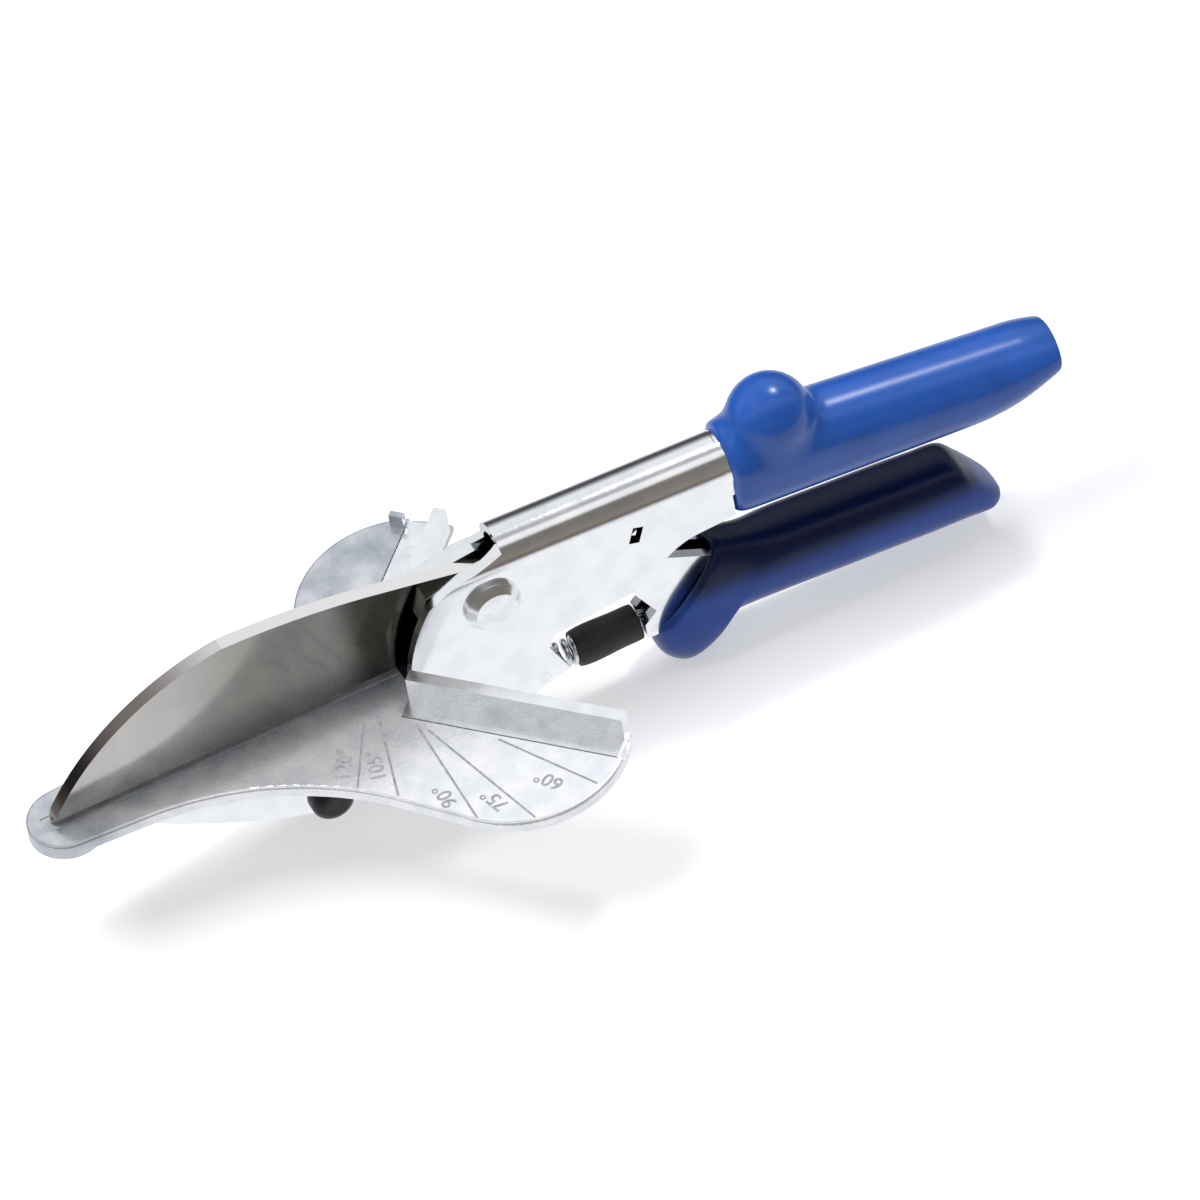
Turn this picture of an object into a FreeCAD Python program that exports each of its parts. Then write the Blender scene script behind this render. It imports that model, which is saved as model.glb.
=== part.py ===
"""Hand-held mitre guillotine: anvil shears with an angle table, two dipped handles and a return spring.

Frame: +X towards the handles, +Z up out of the mitre table, blade in the plane Y = 0.
The origin is on the table's top face, in the blade's plane, at the corner where the work is cut.
Millimetres throughout. The tool is drawn shut, with the blade down on its anvil.
"""
import FreeCAD, Part
import math
import os
import Sketcher

Vector = FreeCAD.Vector
doc = FreeCAD.newDocument("mitre_guillotine")

# ---------------------------------------------------------------- driving dimensions
SIZES = [
    # pivot and running gaps
    ("pivot_x", 30.5, "pivot centre, from the cutting corner"),
    ("pivot_z", 12.5, "pivot centre, above the table"),
    ("bolt_radius", 3.0, "pivot bolt shank"),
    ("running_gap", 0.05, "radial clearance of a turning fit"),
    ("press_gap", 0.02, "clearance drawn round pressed pins and threads"),
    ("seat_gap", 0.3, "clearance between castings and the frame"),
    ("bush_wall", 1.5, "wall of the pivot bush"),
    ("shim_thick", 0.7, "friction shim each side of the lever"),
    ("shim_radius", 6.0, "outer radius of a friction shim"),
    ("side_clearance", 0.1, "gap between a shim and the frame cheek"),
    ("head_radius", 5.6, "pivot bolt head"),
    ("head_tall", 2.3, "height of the pivot bolt head"),
    ("head_chamfer", 1.4, "chamfer of the bolt heads"),
    ("washer_thick", 0.6, "pivot washer"),
    ("washer_radius", 5.0, "outer radius of the pivot washer"),
    ("nut_flats", 8.0, "pivot nut across flats"),
    ("nut_tall", 1.3, "pivot nut height"),
    ("bolt_end", 0.2, "thread standing out of the pivot nut"),
    # blade
    ("blade_thick", 2.8, "blade plate"),
    ("blade_tip_x", -60.0, "tip of the cutting edge"),
    ("blade_heel_x", 12.0, "heel of the cutting edge"),
    ("blade_nose_x", -59.1, "top of the blunt nose"),
    ("blade_nose_z", 2.3, "top of the blunt nose"),
    ("spine_front_x", -21.2, "end of the spine's steep front arc"),
    ("spine_front_z", 27.4, "end of the spine's steep front arc"),
    ("spine_front_round", 54.0, "radius of the steep front arc"),
    ("spine_back_x", 12.0, "end of the spine's long arc"),
    ("spine_back_z", 22.8, "end of the spine's long arc"),
    ("spine_round", 150.0, "radius of the spine's long arc"),
    ("tang_top_x", 34.0, "where the spine drops to the tang"),
    ("tang_top_z", 17.4, "where the spine drops to the tang"),
    ("blade_tang_x", 60.0, "rear end of the blade's tang"),
    ("tang_rear_top_z", 1.6, "top of the tang at its rear end"),
    ("tang_rear_low_z", -2.6, "bottom of the tang at its rear end"),
    ("tang_low_x", 31.0, "bottom of the tang below the pivot"),
    ("tang_low_z", 4.2, "bottom of the tang below the pivot"),
    ("bevel_tall", 1.4, "height of the ground bevel"),
    ("edge_flat", 0.3, "width left at the cutting edge"),
    ("blade_rivet_radius", 2.0, "rivets that hold the blade in the lever"),
    ("blade_rivet_x", 45.0, "front blade rivet"),
    ("blade_rivet_z", 7.0, "front blade rivet"),
    ("blade_rivet_step_x", 9.5, "rear rivet, behind the front one"),
    ("blade_rivet_step_z", -4.6, "rear rivet, below the front one"),
    # lower lever
    ("lever_wall", 2.0, "sheet of the lower lever"),
    ("lever_front_x", 16.9, "front tip of the lever cheeks"),
    ("lever_front_z", 13.2, "front tip of the lever cheeks"),
    ("lever_brow_x", 18.9, "upper front corner"),
    ("lever_brow_z", 18.2, "upper front corner"),
    ("lever_crown_x", 31.5, "highest point, over the pivot"),
    ("lever_crown_z", 19.8, "highest point, over the pivot"),
    ("lever_neck_x", 38.0, "start of the straight back"),
    ("lever_neck_z", 16.0, "start of the straight back"),
    ("lever_back_x", 80.0, "rear end of the cheeks, in the grip"),
    ("lever_back_z", -7.0, "top of the cheeks in the grip"),
    ("lever_rear_low_z", -16.0, "bottom of the cheeks in the grip"),
    ("lever_tab_x", 60.0, "front of the spring tab"),
    ("lever_tab_low_z", -19.0, "bottom of the spring tab"),
    ("lever_tab_top_z", -15.2, "top of the spring tab's nose"),
    ("lever_step_x", 62.7, "inner corner above the spring tab"),
    ("lever_step_z", -12.6, "inner corner above the spring tab"),
    ("lever_chin_x", 58.2, "lower corner of the cheeks"),
    ("lever_chin_z", -4.1, "lower corner of the cheeks"),
    ("lever_belly_x", 27.0, "lowest point below the pivot"),
    ("lever_belly_z", 4.0, "lowest point below the pivot"),
    ("lever_belly_round", 16.0, "radius under the pivot"),
    ("tray_half", 5.0, "half width of the lever's handle channel"),
    ("tray_x", 69.8, "front of the lever's handle channel"),
    ("tray_z", -20.2, "underside of the handle channel at its front"),
    ("tray_deep", 7.6, "depth of the handle channel"),
    ("tray_long", 51.0, "length of the handle channel"),
    ("tray_slope", 2.5, "downward slope of the lower handle, degrees"),
    # frame channel
    ("frame_wall", 1.8, "sheet of the frame"),
    ("back_slope", 3.0, "downward slope of the rounded back, degrees"),
    ("arch_x", 34.6, "front of the rounded back"),
    ("back_z", 18.8, "axis height of the rounded back at its front"),
    ("bend_x", 80.6, "where the frame bends into the handle"),
    ("handle_slope", 9.5, "downward slope of the upper handle, degrees"),
    ("handle_long", 60.0, "length of the frame inside the upper grip"),
    ("handle_leg", 4.0, "legs of the channel inside the upper grip"),
    ("cheek_front_x", 12.0, "front edge of the cheeks at the table"),
    ("cheek_brow_x", 18.1, "upper front corner of the cheeks"),
    ("cheek_brow_z", 17.8, "upper front corner of the cheeks"),
    ("cheek_front_round", 36.0, "radius of the cheeks' front edge"),
    ("shoulder_x", 28.4, "end of the shoulder's arc"),
    ("shoulder_z", 21.4, "end of the shoulder's arc"),
    ("shoulder_round", 17.0, "radius of the shoulder"),
    ("rim_z", 22.7, "shoulder height at the rounded back"),
    ("far_brow_x", 17.0, "front of the far cheek's lower top edge"),
    ("far_brow_z", 15.6, "front of the far cheek's lower top edge"),
    ("far_shoulder_x", 25.0, "bend in the far cheek's top edge"),
    ("far_shoulder_z", 17.9, "bend in the far cheek's top edge"),
    ("far_rim_z", 18.9, "far cheek's top edge at the rounded back"),
    ("skirt_rear_z", 6.6, "lower edge of the cheeks at the grip"),
    ("skirt_x", 73.0, "start of the skirt's curve"),
    ("skirt_z", 6.2, "start of the skirt's curve"),
    ("skirt_round", 12.0, "radius of the skirt's curve"),
    ("skirt_low_x", 65.0, "end of the skirt's curve"),
    ("skirt_low_z", 2.8, "end of the skirt's curve"),
    ("notch_rear_x", 58.0, "upper rear corner of the spring notch"),
    ("notch_rear_z", -1.7, "upper rear corner of the spring notch"),
    ("notch_front_x", 41.6, "upper front corner of the spring notch"),
    ("notch_front_z", -3.5, "upper front corner of the spring notch"),
    ("notch_wall_x", 39.8, "front wall of the spring notch"),
    ("notch_wall_z", -6.0, "front wall of the spring notch"),
    ("heel_x", 43.2, "rear point of the cheeks' heel"),
    ("heel_z", -14.2, "rear point of the cheeks' heel"),
    ("heel_low_x", 35.0, "lowest point of the cheeks' heel"),
    ("heel_low_z", -16.7, "lowest point of the cheeks' heel"),
    ("belly_rear_x", 10.0, "rear end of the belly's arc"),
    ("belly_rear_z", -23.6, "rear end of the belly's arc"),
    ("belly_front_x", -11.0, "front end of the belly's arc"),
    ("belly_front_z", -22.2, "front end of the belly's arc"),
    ("belly_round", 60.0, "radius of the belly"),
    ("jaw_tip_x", -46.0, "front tip of the jaw, under the table"),
    ("jaw_round", 150.0, "radius of the jaw's underside"),
    ("slot_x", 60.6, "catch slot centre"),
    ("slot_z", 13.3, "catch slot centre"),
    ("slot_wide", 2.2, "catch slot width"),
    ("slot_tall", 4.0, "catch slot length"),
    ("slot_tilt", 20.0, "lean of the catch slot, degrees"),
    # upper grip
    ("grip_radius", 8.3, "upper grip, at its thickest"),
    ("collar_radius", 7.3, "rim of the upper grip"),
    ("collar_x", 81.4, "front rim of the upper grip"),
    ("collar_round", 2.6, "length over which the rim swells"),
    ("collar_bulge", 3.9, "radius of the swelling rim"),
    ("grip_long", 68.5, "length of the upper grip"),
    ("grip_end_taper", 6.0, "length of the rounded end"),
    ("grip_end_radius", 5.0, "flat at the very end"),
    ("grip_end_round", 6.5, "radius of the rounded end"),
    ("grip_axis_drop", 0.3, "grip axis below the frame's axis"),
    ("heel_drop", 3.6, "axis of the grip's deeper front, below the grip axis"),
    ("heel_radius", 8.2, "underside of the grip's deeper front"),
    ("heel_rim_radius", 7.3, "underside of the grip at its rim"),
    ("heel_long", 55.0, "length over which the deeper front runs out"),
    ("heel_end_radius", 6.8, "rear end of the deeper front, inside the grip"),
    ("bulb_radius", 8.0, "thumb stop"),
    ("bulb_along", 9.9, "thumb stop, behind the rim"),
    ("bulb_up", 8.5, "thumb stop, above the grip axis"),
    # lower grip
    ("lower_grip_half", 7.0, "half width of the lower grip"),
    ("lower_grip_round", 2.6, "rounding of the lower grip's long edges"),
    ("lining", 1.2, "vinyl inside the handle channel"),
    ("mouth_top_x", 76.7, "upper end of the grip's front edge"),
    ("mouth_top_z", -2.6, "upper end of the grip's front edge"),
    ("mouth_low_x", 61.6, "lower end of the grip's front edge"),
    ("mouth_low_z", -19.2, "lower end of the grip's front edge"),
    ("guard_low_x", 67.0, "bottom of the finger guard"),
    ("guard_low_z", -29.8, "bottom of the finger guard"),
    ("guard_front_round", 9.0, "radius of the finger guard's front"),
    ("guard_round", 7.5, "radius of the finger guard's rear"),
    ("guard_rear_x", 71.6, "rear of the finger guard"),
    ("guard_rear_z", -24.8, "rear of the finger guard"),
    ("guard_rise", 0.3, "how far the finger guard reaches up the grip's front, as a share of it"),
    ("palm_x", 74.6, "front of the grip's underside"),
    ("palm_z", -21.0, "front of the grip's underside"),
    ("beak_low_x", 131.6, "underside of the beak"),
    ("beak_low_z", -25.6, "underside of the beak"),
    ("beak_x", 134.8, "tip of the beak"),
    ("beak_z", -21.9, "tip of the beak"),
    ("crest_rear_x", 126.0, "rear end of the grip's top edge"),
    ("crest_rear_z", -9.9, "rear end of the grip's top edge"),
    ("crest_x", 85.0, "front of the grip's straight top edge"),
    ("crest_z", -5.7, "front of the grip's straight top edge"),
    # mitre table
    ("table_thick", 2.5, "wings of the table"),
    ("nose_x", -57.0, "centre of the rounded nose"),
    ("nose_radius", 7.5, "rounded nose"),
    ("nose_thick", 3.4, "nose"),
    ("rim_round", 0.7, "rounding along the table's upper rim"),
    ("waist_x", -45.0, "end of the parallel nose"),
    ("waist_y", 8.2, "half width at the end of the parallel nose"),
    ("near_wing_x", -3.0, "rear end of the near wing's hollow edge"),
    ("near_wing_y", -28.0, "rear end of the near wing's hollow edge"),
    ("near_hollow", 60.0, "radius of the near wing's hollow edge"),
    ("near_shoulder_x", 9.15, "where the near edge meets the lobe"),
    ("near_shoulder_y", -42.25, "where the near edge meets the lobe"),
    ("near_lobe_x", 23.9, "centre of the near lobe"),
    ("near_lobe_y", -27.1, "centre of the near lobe"),
    ("lobe_radius", 21.2, "near lobe"),
    ("far_wing_x", -1.6, "rear end of the far wing's hollow edge"),
    ("far_wing_y", 16.0, "rear end of the far wing's hollow edge"),
    ("far_hollow", 90.0, "radius of the far wing's hollow edge"),
    ("far_lobe_x", 19.6, "centre of the far lobe"),
    ("far_lobe_y", 13.2, "centre of the far lobe"),
    ("far_lobe_radius", 20.9, "far lobe"),
    ("keel_front_x", -42.0, "front of the keel under the table"),
    ("keel_rear_x", 10.0, "rear of the keel under the table"),
    ("keel_inset", 0.8, "keel, above the cheeks' lower edge"),
    ("groove_half", 1.9, "half width of the anvil groove"),
    ("groove_deep", 3.0, "depth of the anvil groove"),
    ("groove_front_x", -61.5, "front end of the anvil groove"),
    ("anvil_drop", 0.3, "anvil, below the table's face"),
    # fences
    ("near_fence_at", 2.0, "near stop face, on X + Y"),
    ("near_fence_start", 13.2, "inner end, along the near fence"),
    ("near_fence_end", 56.0, "outer end, along the near fence"),
    ("far_fence_at", 6.3, "far stop face, on X - Y"),
    ("far_fence_start", 16.4, "inner end, along the far fence"),
    ("far_fence_end", 42.4, "outer end, along the far fence"),
    ("fence_thick", 2.5, "wall of a fence"),
    ("fence_tall", 5.5, "height of a fence above the table"),
    ("foot_wide", 5.6, "foot of the far fence"),
    ("near_foot_wide", 4.2, "foot of the near fence"),
    ("foot_thick", 1.0, "foot of a fence, let into the table"),
    ("joint_line", 0.3, "gap in front of a fence's foot"),
    ("lug_long", 1.3, "lug at the far wing's rim"),
    ("lug_wide", 2.8, "lug at the far wing's rim"),
    ("lug_tall", 3.0, "lug at the far wing's rim"),
    ("fence_rivet_radius", 1.2, "rivets through a fence's foot"),
    ("fence_rivet_inset", 7.0, "rivets, from the ends of the foot"),
    # angle scale
    ("line_wide", 0.45, "engraved line"),
    ("line_deep", 0.35, "engraved line"),
    # table fixings
    ("table_bolt_x", -7.6, "black bolt through cheeks and keel"),
    ("table_bolt_z", -19.4, "black bolt through cheeks and keel"),
    ("table_bolt_radius", 2.5, "its shank"),
    ("table_head_radius", 4.3, "its domed head"),
    ("table_head_tall", 3.0, "its domed head"),
    ("table_head_round", 2.2, "rounding of its domed head"),
    ("table_nut_flats", 8.0, "its nut across flats"),
    ("table_nut_tall", 3.6, "its nut"),
    ("table_pin_radius", 1.5, "dowels through cheeks and keel"),
    ("table_pin_front_x", -28.0, "front dowel"),
    ("table_pin_rear_x", 4.0, "rear dowel"),
    ("table_pin_z", -7.5, "both dowels"),
    # return spring
    ("frame_pin_x", 38.0, "spring pin in the frame"),
    ("frame_pin_z", -13.6, "spring pin in the frame"),
    ("frame_pin_radius", 1.2, "spring pin in the frame"),
    ("lever_pin_x", 61.9, "spring pin in the lever"),
    ("lever_pin_z", -17.0, "spring pin in the lever"),
    ("lever_pin_radius", 1.0, "spring pin in the lever"),
    ("wire_radius", 0.6, "spring wire"),
    ("coil_radius", 2.3, "spring, to the middle of its wire"),
    ("coil_front_x", 43.0, "first turn of the coil"),
    ("coil_rear_x", 58.6, "last turn of the coil"),
    ("coil_z", -17.0, "axis of the coil"),
    ("coil_turns", 9, "turns of the coil"),
    ("hook_gap", 0.05, "clearance of a hook on its pin"),
    ("sleeve_front_x", 46.4, "front of the rubber sleeve"),
    ("sleeve_rear_x", 59.4, "rear of the rubber sleeve"),
    ("sleeve_radius", 3.8, "rubber sleeve, outside"),
    ("sleeve_wall", 0.85, "rubber sleeve"),
]

# Angle lines on the near wing: angle to the blade, the X at which the line would meet the blade's plane,
# and its start and end measured from there.
ANGLE_LINES = [
    (60, 5.4, 30.0, 52.4),
    (75, 5.6, 17.7, 48.2),
    (90, 8.8, 14.6, 41.0),
    (105, 6.1, 9.5, 29.4),
    (120, 5.9, 10.4, 26.2),
]

sheet = doc.addObject("Spreadsheet::Sheet", "Sizes")
row = 1
for alias, number, words in SIZES:
    sheet.set(f"A{row}", words)
    sheet.set(f"B{row}", str(number))
    sheet.setAlias(f"B{row}", alias)
    row += 1
for degrees, foot, start, end in ANGLE_LINES:
    for alias, number in (
        (f"line_foot_{degrees}", foot),
        (f"line_start_{degrees}", start),
        (f"line_end_{degrees}", end),
    ):
        sheet.set(f"A{row}", "angle line")
        sheet.set(f"B{row}", str(number))
        sheet.setAlias(f"B{row}", alias)
        row += 1
doc.recompute()

ALIASES = {alias for alias, number, words in SIZES}
ALIASES |= {f"line_{place}_{line[0]}" for line in ANGLE_LINES for place in ("foot", "start", "end")}


def bound(formula):
    """A formula in the sheet's aliases, as FreeCAD's expressions want it: 'a + b' -> 'Sizes.a + Sizes.b'."""
    words, word = [], ""
    for sign in str(formula) + " ":
        if sign.isalnum() or sign in "_.":
            word += sign
            continue
        words.append(f"Sizes.{word}" if word in ALIASES else word)
        words.append(sign)
        word = ""
    return "".join(words).strip()


def number(formula):
    """The present value of such a formula."""
    return float(sheet.evalExpression(str(formula)))


# Half widths that several pieces share, from the blade outwards.
BLADE_HALF = "blade_thick / 2"
LEVER_HALF = "(blade_thick / 2 + lever_wall)"
FRAME_INNER = "(blade_thick / 2 + lever_wall + shim_thick + side_clearance)"
FRAME_HALF = "(blade_thick / 2 + lever_wall + shim_thick + side_clearance + frame_wall)"
BUSH_RADIUS = "(bolt_radius + running_gap + bush_wall)"
FENCE_BACK = "(near_fence_at + fence_thick * sqrt(2))"
FAR_BACK = "(far_fence_at + fence_thick * sqrt(2))"

ALONG_X = FreeCAD.Rotation(Vector(0, 1, 0), 90)
BACKWARDS = FreeCAD.Rotation(Vector(0, 1, 0), -90)
ALONG_Y = FreeCAD.Rotation(Vector(1, 0, 0), -90)
UPRIGHT = FreeCAD.Rotation()
NEAR = 1e-6


# ---------------------------------------------------------------- building tools
def bind(item, **formulas):
    """Tie properties of an object to the sheet."""
    for name, formula in formulas.items():
        item.setExpression(name.replace("__", "."), bound(formula))
    return item


def place(item, x=0, y=0, z=0, turn=UPRIGHT):
    """Put an object at a place given by formulas, turned by a fixed rotation."""
    item.Placement = FreeCAD.Placement(Vector(0, 0, 0), turn)
    return bind(item, Placement__Base__x=x, Placement__Base__y=y, Placement__Base__z=z)


def tilt(item, axis, formula):
    """Turn an object about an axis by an angle in degrees given by a formula."""
    item.Placement = FreeCAD.Placement(item.Placement.Base, FreeCAD.Rotation(axis, 1))
    item.setExpression("Placement.Rotation.Angle", bound(formula))
    return item


def box(name, long, wide, tall, x, y, z, turn=UPRIGHT):
    item = doc.addObject("Part::Box", name)
    bind(item, Length=long, Width=wide, Height=tall)
    return place(item, x, y, z, turn)


def rod(name, radius, long, x, y, z, turn=ALONG_Y):
    item = doc.addObject("Part::Cylinder", name)
    bind(item, Radius=radius, Height=long)
    return place(item, x, y, z, turn)


def fuse(name, *items):
    item = doc.addObject("Part::MultiFuse", name)
    item.Shapes = list(items)
    return item


def cut(name, base, *tools):
    item = doc.addObject("Part::Cut", name)
    item.Base = base
    item.Tool = tools[0] if len(tools) == 1 else fuse(name + "_tools", *tools)
    return item


def common(name, *items):
    item = doc.addObject("Part::MultiCommon", name)
    item.Shapes = list(items)
    return item


def group(name, *items):
    """Separate solids that share one node."""
    item = doc.addObject("Part::Compound", name)
    item.Links = list(items)
    return item


def through(name, radius, x, z, half):
    """A straight pin or hole along Y, from -half to +half."""
    return rod(name, radius, f"2 * {half}", x, f"-{half}", z)


def sketch_on(body, role, name):
    sketch = body.newObject("Sketcher::SketchObject", name)
    plane = [item for item in body.Origin.OriginFeatures if item.Role == role][0]
    sketch.AttachmentSupport = [(plane, "")]
    sketch.MapMode = "FlatFace"
    return sketch


def arc_between(start, end, radius, left):
    """The short arc from start to end that bulges to the left, or to the right, of the way it runs."""
    middle = (start + end) * 0.5
    half = (end - start) * 0.5
    reach = math.sqrt(max(radius ** 2 - half.Length ** 2, 0.0))
    side = Vector(-half.y, half.x, 0).normalize()
    centre = middle - side * reach if left else middle + side * reach
    circle = Part.Circle(centre, Vector(0, 0, 1), radius)
    first, last = (end, start) if left else (start, end)
    turn = [math.atan2(point.y - centre.y, point.x - centre.x) for point in (first, last)]
    return Part.ArcOfCircle(circle, turn[0], turn[1])


def draw(sketch, corners):
    """Draw a closed outline and tie it to the sheet.

    A corner is (x, y) at the end of a straight run, or (x, y, radius, "left" or "right") at the end of an arc
    that bulges to that side. Every corner and radius is a formula in the sheet's aliases.
    """
    places = [Vector(number(corner[0]), number(corner[1]), 0) for corner in corners]
    ends = []
    for index, corner in enumerate(corners):
        start, end = places[index - 1], places[index]
        if len(corner) == 2:
            edge = sketch.addGeometry(Part.LineSegment(start, end), False)
            ends.append((edge, 1, 2))
            continue
        left = corner[3] == "left"
        edge = sketch.addGeometry(arc_between(start, end, number(corner[2]), left), False)
        ends.append((edge, 2, 1) if left else (edge, 1, 2))
        radius = sketch.addConstraint(Sketcher.Constraint("Radius", edge, number(corner[2])))
        sketch.setExpression(f"Constraints[{radius}]", bound(corner[2]))
    for index, (edge, first, last) in enumerate(ends):
        following, entry, other = ends[(index + 1) % len(ends)]
        sketch.addConstraint(Sketcher.Constraint("Coincident", edge, last, following, entry))
        for kind, formula, value in (
            ("DistanceX", corners[index][0], places[index].x),
            ("DistanceY", corners[index][1], places[index].y),
        ):
            tie = sketch.addConstraint(Sketcher.Constraint(kind, -1, 1, edge, last, value))
            sketch.setExpression(f"Constraints[{tie}]", bound(formula))
    return sketch


def plate(name, corners, half):
    """A flat plate with an outline in XZ, from -half to +half in Y."""
    body = doc.addObject("PartDesign::Body", name)
    pad = body.newObject("PartDesign::Pad", name + "_pad")
    pad.Profile = draw(sketch_on(body, "XZ_Plane", name + "_outline"), corners)
    pad.SideType = "Symmetric"
    bind(pad, Length=f"2 * {half}")
    return body


def slab(name, corners, thick):
    """A flat slab with an outline in XY and its top on Z = 0."""
    body = doc.addObject("PartDesign::Body", name)
    pad = body.newObject("PartDesign::Pad", name + "_pad")
    pad.Profile = draw(sketch_on(body, "XY_Plane", name + "_outline"), corners)
    pad.Reversed = True
    bind(pad, Length=thick)
    return body


def turned(name, corners):
    """A body of revolution about its own X axis, from an outline of length and radius."""
    body = doc.addObject("PartDesign::Body", name)
    sketch = draw(sketch_on(body, "XZ_Plane", name + "_outline"), corners)
    revolution = body.newObject("PartDesign::Revolution", name + "_turn")
    revolution.Profile = sketch
    revolution.ReferenceAxis = (sketch, ["H_Axis"])
    revolution.Angle = 360
    return body


def channel(name, outer, inner, deep, before, after):
    """A round-backed channel along its own X axis, open below, from -before to +after."""
    body = doc.addObject("PartDesign::Body", name)
    corners = [
        (f"-{outer}", f"-{deep}"),
        (f"-{outer}", "0"),
        ("0", outer, outer, "left"),
        (outer, "0", outer, "left"),
        (outer, f"-{deep}"),
        (inner, f"-{deep}"),
        (inner, "0"),
        ("0", inner, inner, "right"),
        (f"-{inner}", "0", inner, "right"),
        (f"-{inner}", f"-{deep}"),
    ]
    pad = body.newObject("PartDesign::Pad", name + "_pad")
    pad.Profile = draw(sketch_on(body, "YZ_Plane", name + "_section"), corners)
    pad.SideType = "Two sides"
    bind(pad, Length=after, Length2=before)
    return body


def hexagon(name, flats, tall, x, y, z):
    """A six-sided nut blank along +Y."""
    item = doc.addObject("Part::Prism", name)
    item.Polygon = 6
    bind(item, Circumradius=f"{flats} / sqrt(3)", Height=tall)
    return place(item, x, y, z, ALONG_Y)


def softened(name, item, size, wanted, kind="Part::Chamfer"):
    """Chamfer or round the edges that wanted() picks from an object's shape."""
    doc.recompute()
    result = doc.addObject(kind, name)
    result.Base = item
    edges = [index + 1 for index, edge in enumerate(item.Shape.Edges) if wanted(edge)]
    result.Edges = [(index, number(size), number(size)) for index in edges]
    return result


NODES = []


def node(item, label):
    """Name a finished sub-part; its label names its file."""
    item.Label = label
    NODES.append(item)
    return item


# ---------------------------------------------------------------- frame: upper handle, cheeks and jaw
frame_outline = plate("frame_side", [
    ("cheek_front_x", "-table_thick"),
    ("cheek_brow_x", "cheek_brow_z", "cheek_front_round", "left"),
    ("shoulder_x", "shoulder_z", "shoulder_round", "left"),
    ("arch_x", "rim_z"),
    ("arch_x", "back_z + 2 * " + FRAME_HALF),
    ("bend_x", "back_z + 2 * " + FRAME_HALF),
    ("bend_x", "skirt_rear_z"),
    ("skirt_x", "skirt_z"),
    ("skirt_low_x", "skirt_low_z", "skirt_round", "right"),
    ("notch_rear_x", "notch_rear_z"),
    ("notch_front_x", "notch_front_z"),
    ("notch_wall_x", "notch_wall_z"),
    ("heel_x", "heel_z"),
    ("heel_low_x", "heel_low_z"),
    ("belly_rear_x", "belly_rear_z"),
    ("belly_front_x", "belly_front_z", "belly_round", "left"),
    ("jaw_tip_x", "-table_thick", "jaw_round", "left"),
], "2 * " + FRAME_HALF)
frame_outline.Label = "frame side outline"


# The rounded back runs a little downhill; the blank is trimmed by the side outline.
BEND_Z = "(back_z - (bend_x - arch_x) * tan(back_slope))"
blank = channel("frame_blank", FRAME_HALF, FRAME_INNER, "2 * (back_z - belly_rear_z)",
                "arch_x - groove_front_x", "bend_x - arch_x + " + FRAME_HALF)
tilt(place(blank, "arch_x", 0, "back_z"), Vector(0, 1, 0), "back_slope")
handle_blank = channel("handle_blank", FRAME_HALF, FRAME_INNER, "handle_leg", "frame_wall / 2", "handle_long")
tilt(place(handle_blank, "bend_x", 0, BEND_Z), Vector(0, 1, 0), "handle_slope")
catch_slot = plate("catch_slot", [
    ("-slot_wide / 2", "-slot_tall / 2"),
    ("-slot_wide / 2", "slot_tall / 2"),
    ("slot_wide / 2", "slot_tall / 2"),
    ("slot_wide / 2", "-slot_tall / 2"),
], "2 * " + FRAME_HALF)
tilt(place(catch_slot, "slot_x", 0, "slot_z"), Vector(0, 1, 0), "slot_tilt")
far_relief = place(plate("far_cheek_relief", [
    ("cheek_front_x - frame_wall", "far_brow_z"),
    ("far_brow_x", "far_brow_z"),
    ("far_shoulder_x", "far_shoulder_z"),
    ("arch_x", "far_rim_z"),
    ("arch_x", "back_z + 2 * " + FRAME_HALF),
    ("cheek_front_x - frame_wall", "back_z + 2 * " + FRAME_HALF),
], FRAME_HALF), 0, FRAME_HALF, 0)

frame = node(cut(
    "frame_with_holes",
    fuse("frame_sheet", common("frame_trimmed", blank, frame_outline), handle_blank),
    catch_slot,
    far_relief,
    through("pivot_hole", "bolt_radius + running_gap", "pivot_x", "pivot_z", FRAME_HALF + " * 2"),
    through("frame_pin_hole", "frame_pin_radius + press_gap", "frame_pin_x", "frame_pin_z",
            FRAME_HALF + " * 2"),
    through("table_bolt_hole", "table_bolt_radius + press_gap", "table_bolt_x", "table_bolt_z",
            FRAME_HALF + " * 2"),
    through("front_dowel_hole", "table_pin_radius + press_gap", "table_pin_front_x", "table_pin_z",
            FRAME_HALF + " * 2"),
    through("rear_dowel_hole", "table_pin_radius + press_gap", "table_pin_rear_x", "table_pin_z",
            FRAME_HALF + " * 2"),
), "frame_channel")

# ---------------------------------------------------------------- upper grip, dipped over the frame
GRIP_Z = f"({BEND_Z} - (collar_x - bend_x) * tan(handle_slope) - grip_axis_drop)"
grip_sleeve = turned("grip_sleeve", [
    ("0", "0"),
    ("0", "collar_radius"),
    ("collar_round", "grip_radius", "collar_bulge", "left"),
    ("grip_long - grip_end_taper", "grip_radius"),
    ("grip_long", "grip_end_radius", "grip_end_round", "left"),
    ("grip_long", "0"),
])
tilt(place(grip_sleeve, "collar_x", 0, GRIP_Z), Vector(0, 1, 0), "handle_slope")
grip_heel = turned("grip_heel", [
    ("0", "0"),
    ("0", "heel_rim_radius"),
    ("collar_round", "heel_radius", "collar_bulge", "left"),
    ("heel_long", "heel_end_radius"),
    ("heel_long", "0"),
])
tilt(place(grip_heel, "collar_x", 0, GRIP_Z + " - heel_drop"), Vector(0, 1, 0),
     "handle_slope - atan(heel_drop / heel_long) / 1 deg")
thumb_stop = doc.addObject("Part::Sphere", "thumb_stop")
bind(thumb_stop, Radius="bulb_radius")
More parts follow.
